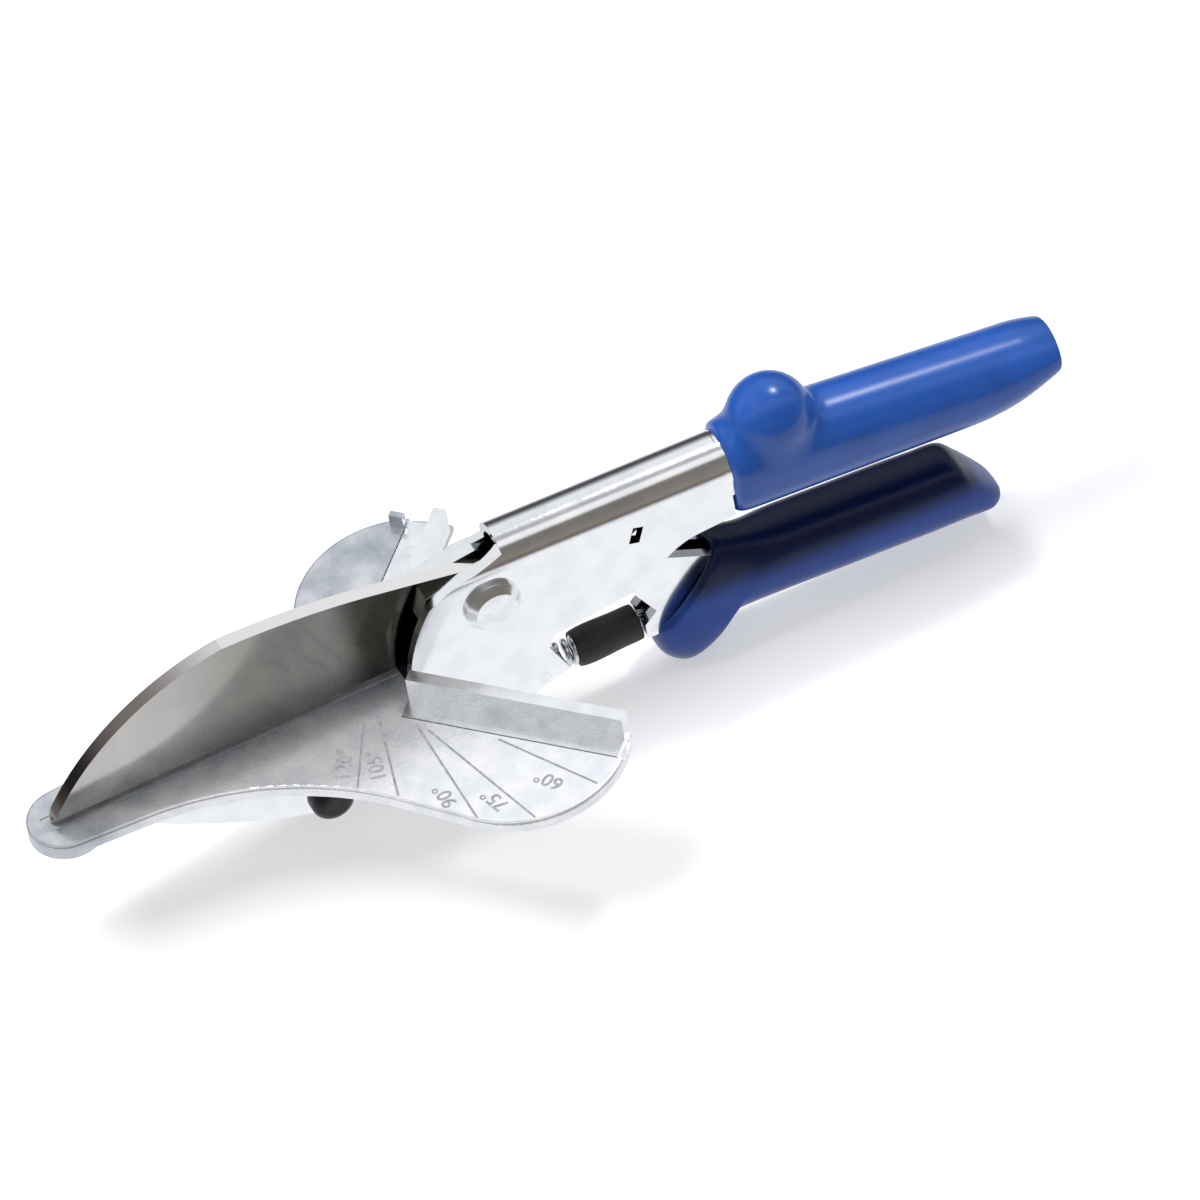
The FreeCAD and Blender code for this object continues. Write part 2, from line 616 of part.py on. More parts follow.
place(thumb_stop,
      "collar_x + bulb_along * cos(handle_slope) + bulb_up * sin(handle_slope)", 0,
      GRIP_Z + " - bulb_along * sin(handle_slope) + bulb_up * cos(handle_slope)")
upper_grip_solid = fuse("upper_grip_solid", grip_sleeve, grip_heel, thumb_stop)
node(cut("upper_grip_hollowed", upper_grip_solid, frame), "upper_grip")

# ---------------------------------------------------------------- lower lever: cheeks and a handle channel
lever_outline = plate("lever_side", [
    ("lever_brow_x", "lever_brow_z"),
    ("lever_crown_x", "lever_crown_z"),
    ("lever_neck_x", "lever_neck_z"),
    ("lever_back_x", "lever_back_z"),
    ("lever_back_x", "lever_rear_low_z"),
    ("tray_x", "lever_tab_low_z"),
    ("lever_tab_x", "lever_tab_low_z"),
    ("lever_tab_x", "lever_tab_top_z"),
    ("lever_step_x", "lever_step_z"),
    ("lever_chin_x", "lever_chin_z"),
    ("lever_belly_x", "lever_belly_z"),
    ("lever_front_x", "lever_front_z", "lever_belly_round", "left"),
], LEVER_HALF)
blade_room = box("blade_room", "lever_back_x", "blade_thick", "2 * (lever_crown_z - lever_tab_low_z)",
                 0, "-" + BLADE_HALF, "2 * lever_tab_low_z")
tray = doc.addObject("PartDesign::Body", "handle_tray")
tray_pad = tray.newObject("PartDesign::Pad", "handle_tray_pad")
tray_pad.Profile = draw(sketch_on(tray, "YZ_Plane", "handle_tray_section"), [
    ("-tray_half", "0"),
    ("-tray_half", "tray_deep"),
    ("lever_wall - tray_half", "tray_deep"),
    ("lever_wall - tray_half", "lever_wall"),
    ("tray_half - lever_wall", "lever_wall"),
    ("tray_half - lever_wall", "tray_deep"),
    ("tray_half", "tray_deep"),
    ("tray_half", "0"),
])
bind(tray_pad, Length="tray_long")
tilt(place(tray, "tray_x", 0, "tray_z"), Vector(0, 1, 0), "tray_slope")

lever = node(cut(
    "lever_with_holes",
    fuse("lever_sheet", cut("lever_cheeks", lever_outline, blade_room), tray),
    through("bush_seat", BUSH_RADIUS + " + press_gap", "pivot_x", "pivot_z", LEVER_HALF + " * 2"),
    through("front_rivet_hole", "blade_rivet_radius + press_gap", "blade_rivet_x", "blade_rivet_z",
            LEVER_HALF + " * 2"),
    through("rear_rivet_hole", "blade_rivet_radius + press_gap", "blade_rivet_x + blade_rivet_step_x",
            "blade_rivet_z + blade_rivet_step_z", LEVER_HALF + " * 2"),
    through("lever_pin_hole", "lever_pin_radius + press_gap", "lever_pin_x", "lever_pin_z",
            LEVER_HALF + " * 2"),
), "lower_lever")

# ---------------------------------------------------------------- lower grip, dipped over the channel
grip_bar = plate("grip_bar", [
    ("mouth_top_x", "mouth_top_z"),
    ("crest_x", "crest_z"),
    ("crest_rear_x", "crest_rear_z"),
    ("beak_x", "beak_z"),
    ("beak_low_x", "beak_low_z"),
    ("palm_x", "palm_z"),
    ("mouth_low_x", "mouth_low_z"),
], "lower_grip_half")
finger_guard = plate("finger_guard", [
    ("palm_x", "(crest_z + palm_z) / 2"),
    ("guard_rear_x", "guard_rear_z"),
    ("guard_low_x", "guard_low_z", "guard_round", "left"),
    ("mouth_low_x", "mouth_low_z", "guard_front_round", "left"),
    ("mouth_low_x + (mouth_top_x - mouth_low_x) * guard_rise",
     "mouth_low_z + (mouth_top_z - mouth_low_z) * guard_rise"),
], "lower_grip_half")


def on_side_face(edge):
    """Whether an edge runs along one of the lower grip's two flat sides."""
    side = number("lower_grip_half")
    first = edge.Vertexes[0].Y
    return all(abs(abs(vertex.Y) - side) < NEAR and vertex.Y * first > 0 for vertex in edge.Vertexes)


lower_grip_solid = fuse(
    "lower_grip_solid",
    softened("grip_bar_rounded", grip_bar, "lower_grip_round", on_side_face, "Part::Fillet"),
    softened("finger_guard_rounded", finger_guard, "lower_grip_round", on_side_face, "Part::Fillet"),
)
trough = box("grip_trough", "tray_long - 2 * tray_deep", "2 * (tray_half - lever_wall - lining)",
             "2 * tray_deep", 0, 0, 0)
tilt(place(trough, "tray_x + 2 * tray_deep", "lever_wall + lining - tray_half",
           "tray_z - 2 * tray_deep * tan(tray_slope) + lever_wall + lining"), Vector(0, 1, 0), "tray_slope")
hook_room = through("hook_room", "lever_pin_radius + hook_gap + 2 * wire_radius + seat_gap",
                    "lever_pin_x", "lever_pin_z", BLADE_HALF)
node(cut("lower_grip_hollowed", lower_grip_solid, lever, trough, hook_room), "lower_grip")

# ---------------------------------------------------------------- blade
blade_plate = plate("blade_side", [
    ("blade_tip_x", "0"),
    ("blade_nose_x", "blade_nose_z"),
    ("spine_front_x", "spine_front_z", "spine_front_round", "left"),
    ("spine_back_x", "spine_back_z", "spine_round", "left"),
    ("tang_top_x", "tang_top_z"),
    ("blade_tang_x", "tang_rear_top_z"),
    ("blade_tang_x", "tang_rear_low_z"),
    ("tang_low_x", "tang_low_z"),
    ("blade_heel_x", "0"),
], BLADE_HALF)


def bevel(name, side):
    """The wedge of steel ground away on one face of the blade, along its edge."""
    body = doc.addObject("PartDesign::Body", name)
    pad = body.newObject("PartDesign::Pad", name + "_pad")
    corners = [
        (f"{side} * edge_flat / 2", "0"),
        (f"{side} * blade_thick / 2", "bevel_tall"),
        (f"{side} * blade_thick", "bevel_tall"),
        (f"{side} * blade_thick", "-bevel_tall"),
        (f"{side} * edge_flat / 2", "-bevel_tall"),
    ]
    pad.Profile = draw(sketch_on(body, "YZ_Plane", name + "_section"), corners)
    bind(pad, Length="blade_heel_x - blade_tip_x + 2 * bevel_tall")
    return place(body, "blade_tip_x - bevel_tall", 0, 0)


node(cut(
    "blade_ground",
    blade_plate,
    bevel("near_bevel", "-1"),
    bevel("far_bevel", "1"),
    through("blade_bush_hole", BUSH_RADIUS + " + press_gap", "pivot_x", "pivot_z", LEVER_HALF),
    through("blade_front_hole", "blade_rivet_radius + press_gap", "blade_rivet_x", "blade_rivet_z",
            LEVER_HALF),
    through("blade_rear_hole", "blade_rivet_radius + press_gap", "blade_rivet_x + blade_rivet_step_x",
            "blade_rivet_z + blade_rivet_step_z", LEVER_HALF),
), "blade")
node(group(
    "blade_rivet_pair",
    through("front_rivet", "blade_rivet_radius", "blade_rivet_x", "blade_rivet_z", LEVER_HALF),
    through("rear_rivet", "blade_rivet_radius", "blade_rivet_x + blade_rivet_step_x",
            "blade_rivet_z + blade_rivet_step_z", LEVER_HALF),
), "blade_rivets")

# ---------------------------------------------------------------- pivot: bush, shims, bolt, washer, nut
node(cut(
    "bush_bored",
    through("bush_blank", BUSH_RADIUS, "pivot_x", "pivot_z", LEVER_HALF),
    through("bush_bore", "bolt_radius + running_gap", "pivot_x", "pivot_z", LEVER_HALF + " * 2"),
), "pivot_bush")


def ring(name, outer, inner, thick, y):
    """A flat ring around the pivot axis, from y to y + thick."""
    return cut(name, rod(name + "_blank", outer, thick, "pivot_x", y, "pivot_z"),
               rod(name + "_bore", inner, thick, "pivot_x", y, "pivot_z"))


node(group(
    "shim_pair",
    ring("near_shim", "shim_radius", "bolt_radius + running_gap", "shim_thick",
         f"-{LEVER_HALF} - shim_thick"),
    ring("far_shim", "shim_radius", "bolt_radius + running_gap", "shim_thick", LEVER_HALF),
), "pivot_shims")
head_blank = rod("pivot_head_blank", "head_radius", "head_tall", "pivot_x", f"-{FRAME_HALF} - head_tall",
                 "pivot_z")
head_face = number(f"-{FRAME_HALF} - head_tall")
pivot_head = softened("pivot_head", head_blank, "head_chamfer",
                      lambda edge: all(abs(vertex.Y - head_face) < NEAR for vertex in edge.Vertexes))
node(fuse(
    "pivot_bolt_turned",
    pivot_head,
    rod("pivot_shank", "bolt_radius", f"2 * {FRAME_HALF} + washer_thick + nut_tall + bolt_end",
        "pivot_x", "-" + FRAME_HALF, "pivot_z"),
), "pivot_bolt")
node(ring("washer_ring", "washer_radius", "bolt_radius + running_gap", "washer_thick", FRAME_HALF),
     "pivot_washer")
node(cut(
    "pivot_nut_tapped",
    hexagon("pivot_nut_blank", "nut_flats", "nut_tall", "pivot_x", FRAME_HALF + " + washer_thick",
            "pivot_z"),
    rod("pivot_nut_thread", "bolt_radius + press_gap", "nut_tall", "pivot_x",
        FRAME_HALF + " + washer_thick", "pivot_z"),
), "pivot_nut")

# ---------------------------------------------------------------- mitre table
table_web = slab("table_web", [
    ("nose_x", "nose_radius"),
    ("waist_x", "waist_y"),
    ("far_wing_x", "far_wing_y", "far_hollow", "right"),
    ("far_lobe_x", "far_lobe_y"),
    ("near_lobe_x", "near_lobe_y"),
    ("near_shoulder_x", "near_shoulder_y"),
    ("near_wing_x", "near_wing_y"),
    ("waist_x", "-waist_y", "near_hollow", "right"),
    ("nose_x", "-nose_radius"),
], "table_thick")
wings = fuse(
    "table_wings",
    table_web,
    rod("near_lobe", "lobe_radius", "table_thick", "near_lobe_x", "near_lobe_y", "-table_thick", UPRIGHT),
    rod("far_lobe", "far_lobe_radius", "table_thick", "far_lobe_x", "far_lobe_y", "-table_thick", UPRIGHT),
    rod("nose", "nose_radius", "nose_thick", "nose_x", "0", "-nose_thick", UPRIGHT),
)
wings.Refine = True
table_rim = softened("table_rim", wings, "rim_round",
                     lambda edge: all(abs(vertex.Z) < NEAR for vertex in edge.Vertexes), "Part::Fillet")
keel = plate("table_keel", [
    ("keel_front_x", "-foot_thick"),
    ("keel_rear_x", "-foot_thick"),
    ("keel_rear_x", "belly_rear_z + keel_inset"),
    ("belly_front_x", "belly_front_z + keel_inset", "belly_round", "left"),
    ("keel_front_x", "-nose_thick", "jaw_round", "left"),
], FRAME_INNER)

# Everything behind the fences and in front of the cheeks is cut away.
CHEEK_ROOM = f"({FRAME_HALF} + seat_gap)"
REACH = "4 * lobe_radius"
SQUARE_ON = FreeCAD.Rotation(Vector(0, 0, 1), -45)
SQUARE_OFF = FreeCAD.Rotation(Vector(0, 0, 1), 45)
behind_near = box("behind_near_fence", REACH, REACH, REACH,
                  f"{FENCE_BACK} + {CHEEK_ROOM}", "-" + CHEEK_ROOM, f"-{REACH} / 2", SQUARE_ON)
behind_far = box("behind_far_fence", REACH, REACH, REACH,
                 f"{FAR_BACK} + {CHEEK_ROOM} + {REACH} / sqrt(2)", f"{CHEEK_ROOM} - {REACH} / sqrt(2)",
                 f"-{REACH} / 2", SQUARE_OFF)
behind_anvil = box("behind_anvil", REACH, "2 * " + CHEEK_ROOM, REACH, "cheek_front_x - seat_gap",
                   "-" + CHEEK_ROOM, f"-{REACH} / 2")
anvil_groove = box("anvil_groove", "cheek_front_x - groove_front_x", "2 * groove_half", "2 * groove_deep",
                   "groove_front_x", "-groove_half", "-groove_deep")


def near_box(name, start, end, front, back, low, high):
    """A block beside the near stop face: along it from start to end, across it from front to back."""
    return box(name, f"{end} - ({start})", f"{back} + {front}", f"{high} - ({low})",
               f"near_fence_at / 2 + ({start} - ({front})) / sqrt(2)",
               f"near_fence_at / 2 - ({start} + {front}) / sqrt(2)", low, SQUARE_ON)


def far_box(name, start, end, front, back, low, high):
    """The same beside the far stop face, whose front looks the other way."""
    return box(name, f"{end} - ({start})", f"{back} + {front}", f"{high} - ({low})",
               f"far_fence_at / 2 + ({start} + {back}) / sqrt(2)",
               f"({start} - ({back})) / sqrt(2) - far_fence_at / 2", low, SQUARE_OFF)


near_seat = near_box("near_fence_seat", "near_fence_start", "near_fence_end + foot_wide",
                     "(near_foot_wide + joint_line)", "fence_thick", "-foot_thick", "foot_thick")
far_seat = far_box("far_fence_seat", "far_fence_start", "far_fence_end + foot_wide",
                   "(foot_wide + joint_line)", "fence_thick", "-foot_thick", "foot_thick")
lug = far_box("work_lug", "far_fence_end - lug_long - rim_round", "far_fence_end - rim_round",
              "(foot_wide + joint_line + lug_wide)", "(-foot_wide - joint_line)", "-foot_thick", "lug_tall")


def angle_line(degrees):
    """One engraved line of the near wing, at its angle to the blade."""
    start, end = f"line_start_{degrees}", f"line_end_{degrees}"
    turn = FreeCAD.Rotation(Vector(0, 0, 1), -degrees)
    return box(f"angle_line_{degrees}", f"{end} - {start}", "line_wide", "2 * line_deep",
               f"line_foot_{degrees} + {start} * cos({degrees}) - line_wide / 2 * sin({degrees})",
               f"-{start} * sin({degrees}) - line_wide / 2 * cos({degrees})", "-line_deep", turn)


def near_rivet(name, radius, along):
    """A flush rivet through the near fence's foot and the wing."""
    return rod(name, radius, "table_thick", f"near_fence_at / 2 + ({along} - near_foot_wide / 2) / sqrt(2)",
               f"near_fence_at / 2 - ({along} + near_foot_wide / 2) / sqrt(2)", "-table_thick", UPRIGHT)


def far_rivet(name, radius, along):
    """A flush rivet through the far fence's foot and the wing."""
    return rod(name, radius, "table_thick", f"far_fence_at / 2 + ({along} - foot_wide / 2) / sqrt(2)",
               f"({along} + foot_wide / 2) / sqrt(2) - far_fence_at / 2", "-table_thick", UPRIGHT)


def fence_rivets(prefix, radius):
    """Two rivets in each fence, or the holes for them."""
    return [maker(f"{prefix}_{side}_{end}", radius, along)
            for side, maker in (("near", near_rivet), ("far", far_rivet))
            for end, along in (("inner", f"({side}_fence_start + fence_rivet_inset)"),
                               ("outer", f"({side}_fence_end - fence_rivet_inset)"))]


rivet_holes = fence_rivets("rivet_hole", "fence_rivet_radius + press_gap")
table = node(cut(
    "table_machined",
    fuse("table_casting", cut("table_trimmed", table_rim, behind_near, behind_far, behind_anvil), keel,
         lug),
    anvil_groove,
    near_seat,
    far_seat,
    through("keel_bolt_hole", "table_bolt_radius + press_gap", "table_bolt_x", "table_bolt_z", FRAME_HALF),
    through("keel_front_hole", "table_pin_radius + press_gap", "table_pin_front_x", "table_pin_z",
            FRAME_HALF),
    through("keel_rear_hole", "table_pin_radius + press_gap", "table_pin_rear_x", "table_pin_z",
            FRAME_HALF),
    *rivet_holes,
    *[angle_line(line[0]) for line in ANGLE_LINES],
), "mitre_table")
node(box("anvil_bar", "cheek_front_x - seat_gap - groove_front_x", "2 * groove_half",
         "groove_deep - anvil_drop", "groove_front_x", "-groove_half", "-groove_deep"), "anvil_insert")

# ---------------------------------------------------------------- fences
near_angle = fuse(
    "near_angle_bar",
    near_box("near_wall", "near_fence_start", "near_fence_end", "0", "fence_thick", "-foot_thick",
             "fence_tall"),
    near_box("near_foot", "near_fence_start", "near_fence_end", "near_foot_wide", "fence_thick",
             "-foot_thick", "0"),
)
far_angle = fuse(
    "far_angle_bar",
    far_box("far_wall", "far_fence_start", "far_fence_end", "0", "fence_thick", "-foot_thick",
            "fence_tall"),
    far_box("far_foot", "far_fence_start", "far_fence_end", "foot_wide", "fence_thick",
            "-foot_thick", "0"),
)
node(cut("near_angle_drilled", near_angle, *rivet_holes[:2]), "near_fence")
node(cut("far_angle_drilled", far_angle, *rivet_holes[2:]), "far_fence")
node(group("fence_rivet_set", *fence_rivets("rivet", "fence_rivet_radius")), "fence_rivets")

# ---------------------------------------------------------------- table fixings
table_head_blank = rod("table_head_blank", "table_head_radius", "table_head_tall", "table_bolt_x",
                       f"-{FRAME_HALF} - table_head_tall", "table_bolt_z")
table_head_face = number(f"-{FRAME_HALF} - table_head_tall")
table_head = softened("table_head", table_head_blank, "table_head_round",
                      lambda edge: all(abs(vertex.Y - table_head_face) < NEAR for vertex in edge.Vertexes),
                      "Part::Fillet")
node(fuse(
    "table_bolt_turned",
    table_head,
    rod("table_bolt_shank", "table_bolt_radius", f"2 * {FRAME_HALF} + table_nut_tall + press_gap",
        "table_bolt_x", "-" + FRAME_HALF, "table_bolt_z"),
), "table_bolt")
node(cut(
    "table_nut_tapped",
    hexagon("table_nut_blank", "table_nut_flats", "table_nut_tall", "table_bolt_x", FRAME_HALF,
            "table_bolt_z"),
    rod("table_nut_thread", "table_bolt_radius + press_gap", "table_nut_tall", "table_bolt_x",
        FRAME_HALF, "table_bolt_z"),
), "table_nut")
node(group(
    "dowel_pair",
    through("front_dowel", "table_pin_radius", "table_pin_front_x", "table_pin_z", FRAME_HALF),
    through("rear_dowel", "table_pin_radius", "table_pin_rear_x", "table_pin_z", FRAME_HALF),
), "table_dowels")

# ---------------------------------------------------------------- return spring and its sleeve
node(through("frame_pin", "frame_pin_radius", "frame_pin_x", "frame_pin_z", FRAME_HALF), "frame_spring_pin")
node(through("lever_pin", "lever_pin_radius", "lever_pin_x", "lever_pin_z", LEVER_HALF), "lever_spring_pin")

coil_path = doc.addObject("Part::Helix", "coil_path")
bind(coil_path, Pitch="(coil_rear_x - coil_front_x) / coil_turns", Height="coil_rear_x - coil_front_x",
     Radius="coil_radius")
place(coil_path, "coil_rear_x", 0, "coil_z", BACKWARDS)
coil_section = doc.addObject("Part::Circle", "coil_section")
bind(coil_section, Radius="wire_radius")
place(coil_section, "coil_rear_x", 0, "coil_z + coil_radius", ALONG_Y)
coil = doc.addObject("Part::Sweep", "coil")
coil.Sections = [coil_section]
coil.Spine = (coil_path, [])
coil.Solid = True
coil.Frenet = True


def hook(name, pin, end_x, side):
    """One end of the spring: an eye round a pin, and a straight leg from the eye to the coil's end."""
    eye_radius = f"({pin}_radius + hook_gap + wire_radius)"
    eye = doc.addObject("Part::Torus", name + "_eye")
    bind(eye, Radius1=eye_radius, Radius2="wire_radius")
    place(eye, pin + "_x", 0, pin + "_z", ALONG_Y)
    run = f"({end_x} - {pin}_x)"
    rise = f"(coil_z + coil_radius - {pin}_z - {side} * {eye_radius})"
    leg = doc.addObject("Part::Cylinder", name + "_leg")
    bind(leg, Radius="wire_radius - press_gap", Height=f"sqrt({run}^2 + {rise}^2) + hook_gap")
    return [eye, tilt(place(leg, pin + "_x", 0, f"{pin}_z + {side} * {eye_radius}"), Vector(0, 1, 0),
                      f"atan2({run}; {rise})")]


node(fuse("spring_wire", coil, *hook("front_hook", "frame_pin", "coil_front_x", "-1"),
          *hook("rear_hook", "lever_pin", "coil_rear_x", "1")), "return_spring")
node(cut(
    "sleeve_tube",
    rod("sleeve_blank", "sleeve_radius", "sleeve_rear_x - sleeve_front_x", "sleeve_front_x", 0,
        "coil_z", ALONG_X),
    rod("sleeve_bore", "sleeve_radius - sleeve_wall", "sleeve_rear_x - sleeve_front_x",
        "sleeve_front_x", 0, "coil_z", ALONG_X),
), "spring_sleeve")

# ---------------------------------------------------------------- check and export
doc.recompute()
for item in doc.Objects:
    if "Invalid" in item.State or "Error" in item.State:
        raise RuntimeError(f"{item.Label} did not build: {item.State}")
for item in NODES:
    if item.Shape.isNull() or not item.Shape.isValid() or not item.Shape.Solids:
        raise RuntimeError(f"{item.Label} is not a sound solid")
os.makedirs("parts", exist_ok=True)
for item in NODES:
    item.Shape.exportStep(f"parts/{item.Label}.step")
    print(f"{item.Label}: {len(item.Shape.Solids)} solid(s), {item.Shape.Volume:.1f} mm3")
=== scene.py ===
"""Looks for a hand-held mitre guillotine: a long blade that closes on a winged angle table.

Metres, with the origin on the table's face at the cutting corner, +X towards the handles and +Z up.
The sections follow the tool as it is put together, from the frame outwards.
"""
import math

import bpy
import numpy as np
from mathutils import Matrix, Vector


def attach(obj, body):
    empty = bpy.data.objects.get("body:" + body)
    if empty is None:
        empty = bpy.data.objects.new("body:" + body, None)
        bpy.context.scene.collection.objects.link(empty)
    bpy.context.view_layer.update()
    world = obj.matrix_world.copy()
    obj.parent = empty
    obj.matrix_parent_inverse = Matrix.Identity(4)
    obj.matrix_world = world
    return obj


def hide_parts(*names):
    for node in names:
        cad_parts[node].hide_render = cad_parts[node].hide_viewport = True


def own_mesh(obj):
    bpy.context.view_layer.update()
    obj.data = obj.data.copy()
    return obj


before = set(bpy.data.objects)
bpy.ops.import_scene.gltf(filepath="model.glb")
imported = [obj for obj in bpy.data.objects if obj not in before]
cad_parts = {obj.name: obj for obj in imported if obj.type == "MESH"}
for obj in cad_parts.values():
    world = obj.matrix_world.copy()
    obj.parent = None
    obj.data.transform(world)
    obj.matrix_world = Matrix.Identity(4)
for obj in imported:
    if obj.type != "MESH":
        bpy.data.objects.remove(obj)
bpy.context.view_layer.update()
MM = 0.001


# ---------------------------------------------------------------- frame channel and lower lever
# Both are bent from steel sheet about 2 mm thick and bright plated, so the flats are nearly white. Faces
# that look towards the middle are painted dark, which stands for the shade inside.
COARSE_DETAIL = 5
SPREAD_FROM, SPREAD_TO = 0.30, 0.70
POLISHED_SHARE, DULLED_SHARE = 0.75, 1.3
RELIEF_STRENGTH = 0.6


def finish(name, light, dark, metallic, roughness, grain, mottle, stretch=(1, 1, 1), bump=0.0, detail=3.0,
           gloss=0.5):
    """A finish with two sizes of unevenness.

    A coarse noise of size `mottle` (in metres) moves the colour between `light` and `dark`, and a fine noise
    of size `grain`, drawn out by `stretch`, moves the roughness about its value and lifts the surface by
    `bump` metres.
    """
    material = bpy.data.materials.new(name)
    material.use_nodes = True
    nodes, links = material.node_tree.nodes, material.node_tree.links
    shader = nodes["Principled BSDF"]
    shader.inputs["Metallic"].default_value = metallic
    shader.inputs["Specular IOR Level"].default_value = gloss
    place = nodes.new("ShaderNodeTexCoord")
    stretched = nodes.new("ShaderNodeMapping")
    stretched.inputs["Scale"].default_value = stretch
    links.new(place.outputs["Object"], stretched.inputs["Vector"])

    coarse = nodes.new("ShaderNodeTexNoise")
    coarse.inputs["Scale"].default_value = 1 / mottle
    coarse.inputs["Detail"].default_value = COARSE_DETAIL
    links.new(place.outputs["Object"], coarse.inputs["Vector"])
    spread = nodes.new("ShaderNodeMapRange")
    spread.interpolation_type = "SMOOTHSTEP"
    spread.inputs["From Min"].default_value = SPREAD_FROM
    spread.inputs["From Max"].default_value = SPREAD_TO
    links.new(coarse.outputs["Fac"], spread.inputs["Value"])
    shade = nodes.new("ShaderNodeMix")
    shade.name = "shade"
    shade.data_type = "RGBA"
    shade.inputs["A"].default_value = (*dark, 1)
    shade.inputs["B"].default_value = (*light, 1)
    links.new(spread.outputs["Result"], shade.inputs["Factor"])
    links.new(shade.outputs["Result"], shader.inputs["Base Color"])

    fine = nodes.new("ShaderNodeTexNoise")
    fine.inputs["Scale"].default_value = 1 / grain
    fine.inputs["Detail"].default_value = detail
    links.new(stretched.outputs["Vector"], fine.inputs["Vector"])
    polish = nodes.new("ShaderNodeMapRange")
    polish.inputs["To Min"].default_value = roughness * POLISHED_SHARE
    polish.inputs["To Max"].default_value = roughness * DULLED_SHARE
    links.new(fine.outputs["Fac"], polish.inputs["Value"])
    links.new(polish.outputs["Result"], shader.inputs["Roughness"])
    if bump:
        relief = nodes.new("ShaderNodeBump")
        relief.inputs["Distance"].default_value = bump
        relief.inputs["Strength"].default_value = RELIEF_STRENGTH
        links.new(fine.outputs["Fac"], relief.inputs["Height"])
        links.new(relief.outputs["Normal"], shader.inputs["Normal"])
    return material


def dress(material, *names):
    """Give CAD nodes a finish."""
    for name in names:
        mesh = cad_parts[name].data
        mesh.materials.clear()
        mesh.materials.append(material)


def eased(nodes, links, value, start, end):
    """0 where the value is at the start, 1 where it is at the end, with a smooth step between."""
    step = nodes.new("ShaderNodeMapRange")
    step.interpolation_type = "SMOOTHSTEP"
    step.inputs["From Min"].default_value = min(start, end)
    step.inputs["From Max"].default_value = max(start, end)
    step.inputs["To Min"].default_value = 0.0 if start < end else 1.0
    step.inputs["To Max"].default_value = 1.0 if start < end else 0.0
    links.new(value, step.inputs["Value"])
    return step.outputs["Result"]


def joined(nodes, links, operation, first, second):
    """Two values, or a value and a number, through one Math node."""
    node = nodes.new("ShaderNodeMath")
    node.operation = operation
    links.new(first, node.inputs[0])
    if isinstance(second, float):
        node.inputs[1].default_value = second
    else:
        links.new(second, node.inputs[1])
    return node.outputs["Value"]


def overlaid(material, factor, colour):
    """Lay a colour, or another node's colour, over a finish where the factor is 1."""
    nodes, links = material.node_tree.nodes, material.node_tree.links
    shader = nodes["Principled BSDF"]
    below = shader.inputs["Base Color"].links[0].from_socket
    lay = nodes.new("ShaderNodeMix")
    lay.data_type = "RGBA"
    links.new(factor, lay.inputs["Factor"])
    links.new(below, lay.inputs["A"])
    if isinstance(colour, tuple):
        lay.inputs["B"].default_value = (*colour, 1)
    else:
        links.new(colour, lay.inputs["B"])
    links.new(lay.outputs["Result"], shader.inputs["Base Color"])


def axes(material, output="Object"):
    """The X, Y and Z of a place on the piece, or of its face's direction with the output "Normal"."""
    nodes, links = material.node_tree.nodes, material.node_tree.links
    place = nodes.new("ShaderNodeTexCoord")
    split = nodes.new("ShaderNodeSeparateXYZ")
    links.new(place.outputs[output], split.inputs["Vector"])
    return split.outputs


INSIDE_COLOUR = (0.045, 0.045, 0.050)
INSIDE_FROM, INSIDE_TO = -0.0006, -0.0016

plated_sheet = finish("plated_sheet", (0.93, 0.94, 0.95), (0.84, 0.86, 0.88), 1.0, 0.15, 0.0009, 0.006,
                      bump=0.000006)
nodes, links = plated_sheet.node_tree.nodes, plated_sheet.node_tree.links
facing = joined(nodes, links, "MULTIPLY", axes(plated_sheet)["Y"], axes(plated_sheet, "Normal")["Y"])
overlaid(plated_sheet, eased(nodes, links, facing, INSIDE_FROM, INSIDE_TO), INSIDE_COLOUR)
dress(plated_sheet, "frame_channel", "lower_lever")


# ---------------------------------------------------------------- mitre table
# A zinc casting, tumbled and plated, with a cloudy face. It is held between the frame's cheeks by its keel.
# It is painted darker and blue-grey along the blade, at the nose and over the far wing: painted shade.
PAINTED_SHADE_COLOUR = (0.30, 0.34, 0.38)
FAR_WING_FROM, FAR_WING_TO = 0.004, 0.013
NOSE_FROM, NOSE_TO = -0.035, -0.062
BLADE_SIDE_FROM, BLADE_SIDE_TO = 0.010, 0.0015
CLOUD_SCALE, CLOUD_DETAIL = 160, 6
PAINTED_SHADE_STRENGTH = 1.3

cast_zinc = finish("cast_zinc", (0.96, 0.96, 0.97), (0.82, 0.84, 0.88), 0.65, 0.26, 0.0009, 0.0045,
                   bump=0.00003)


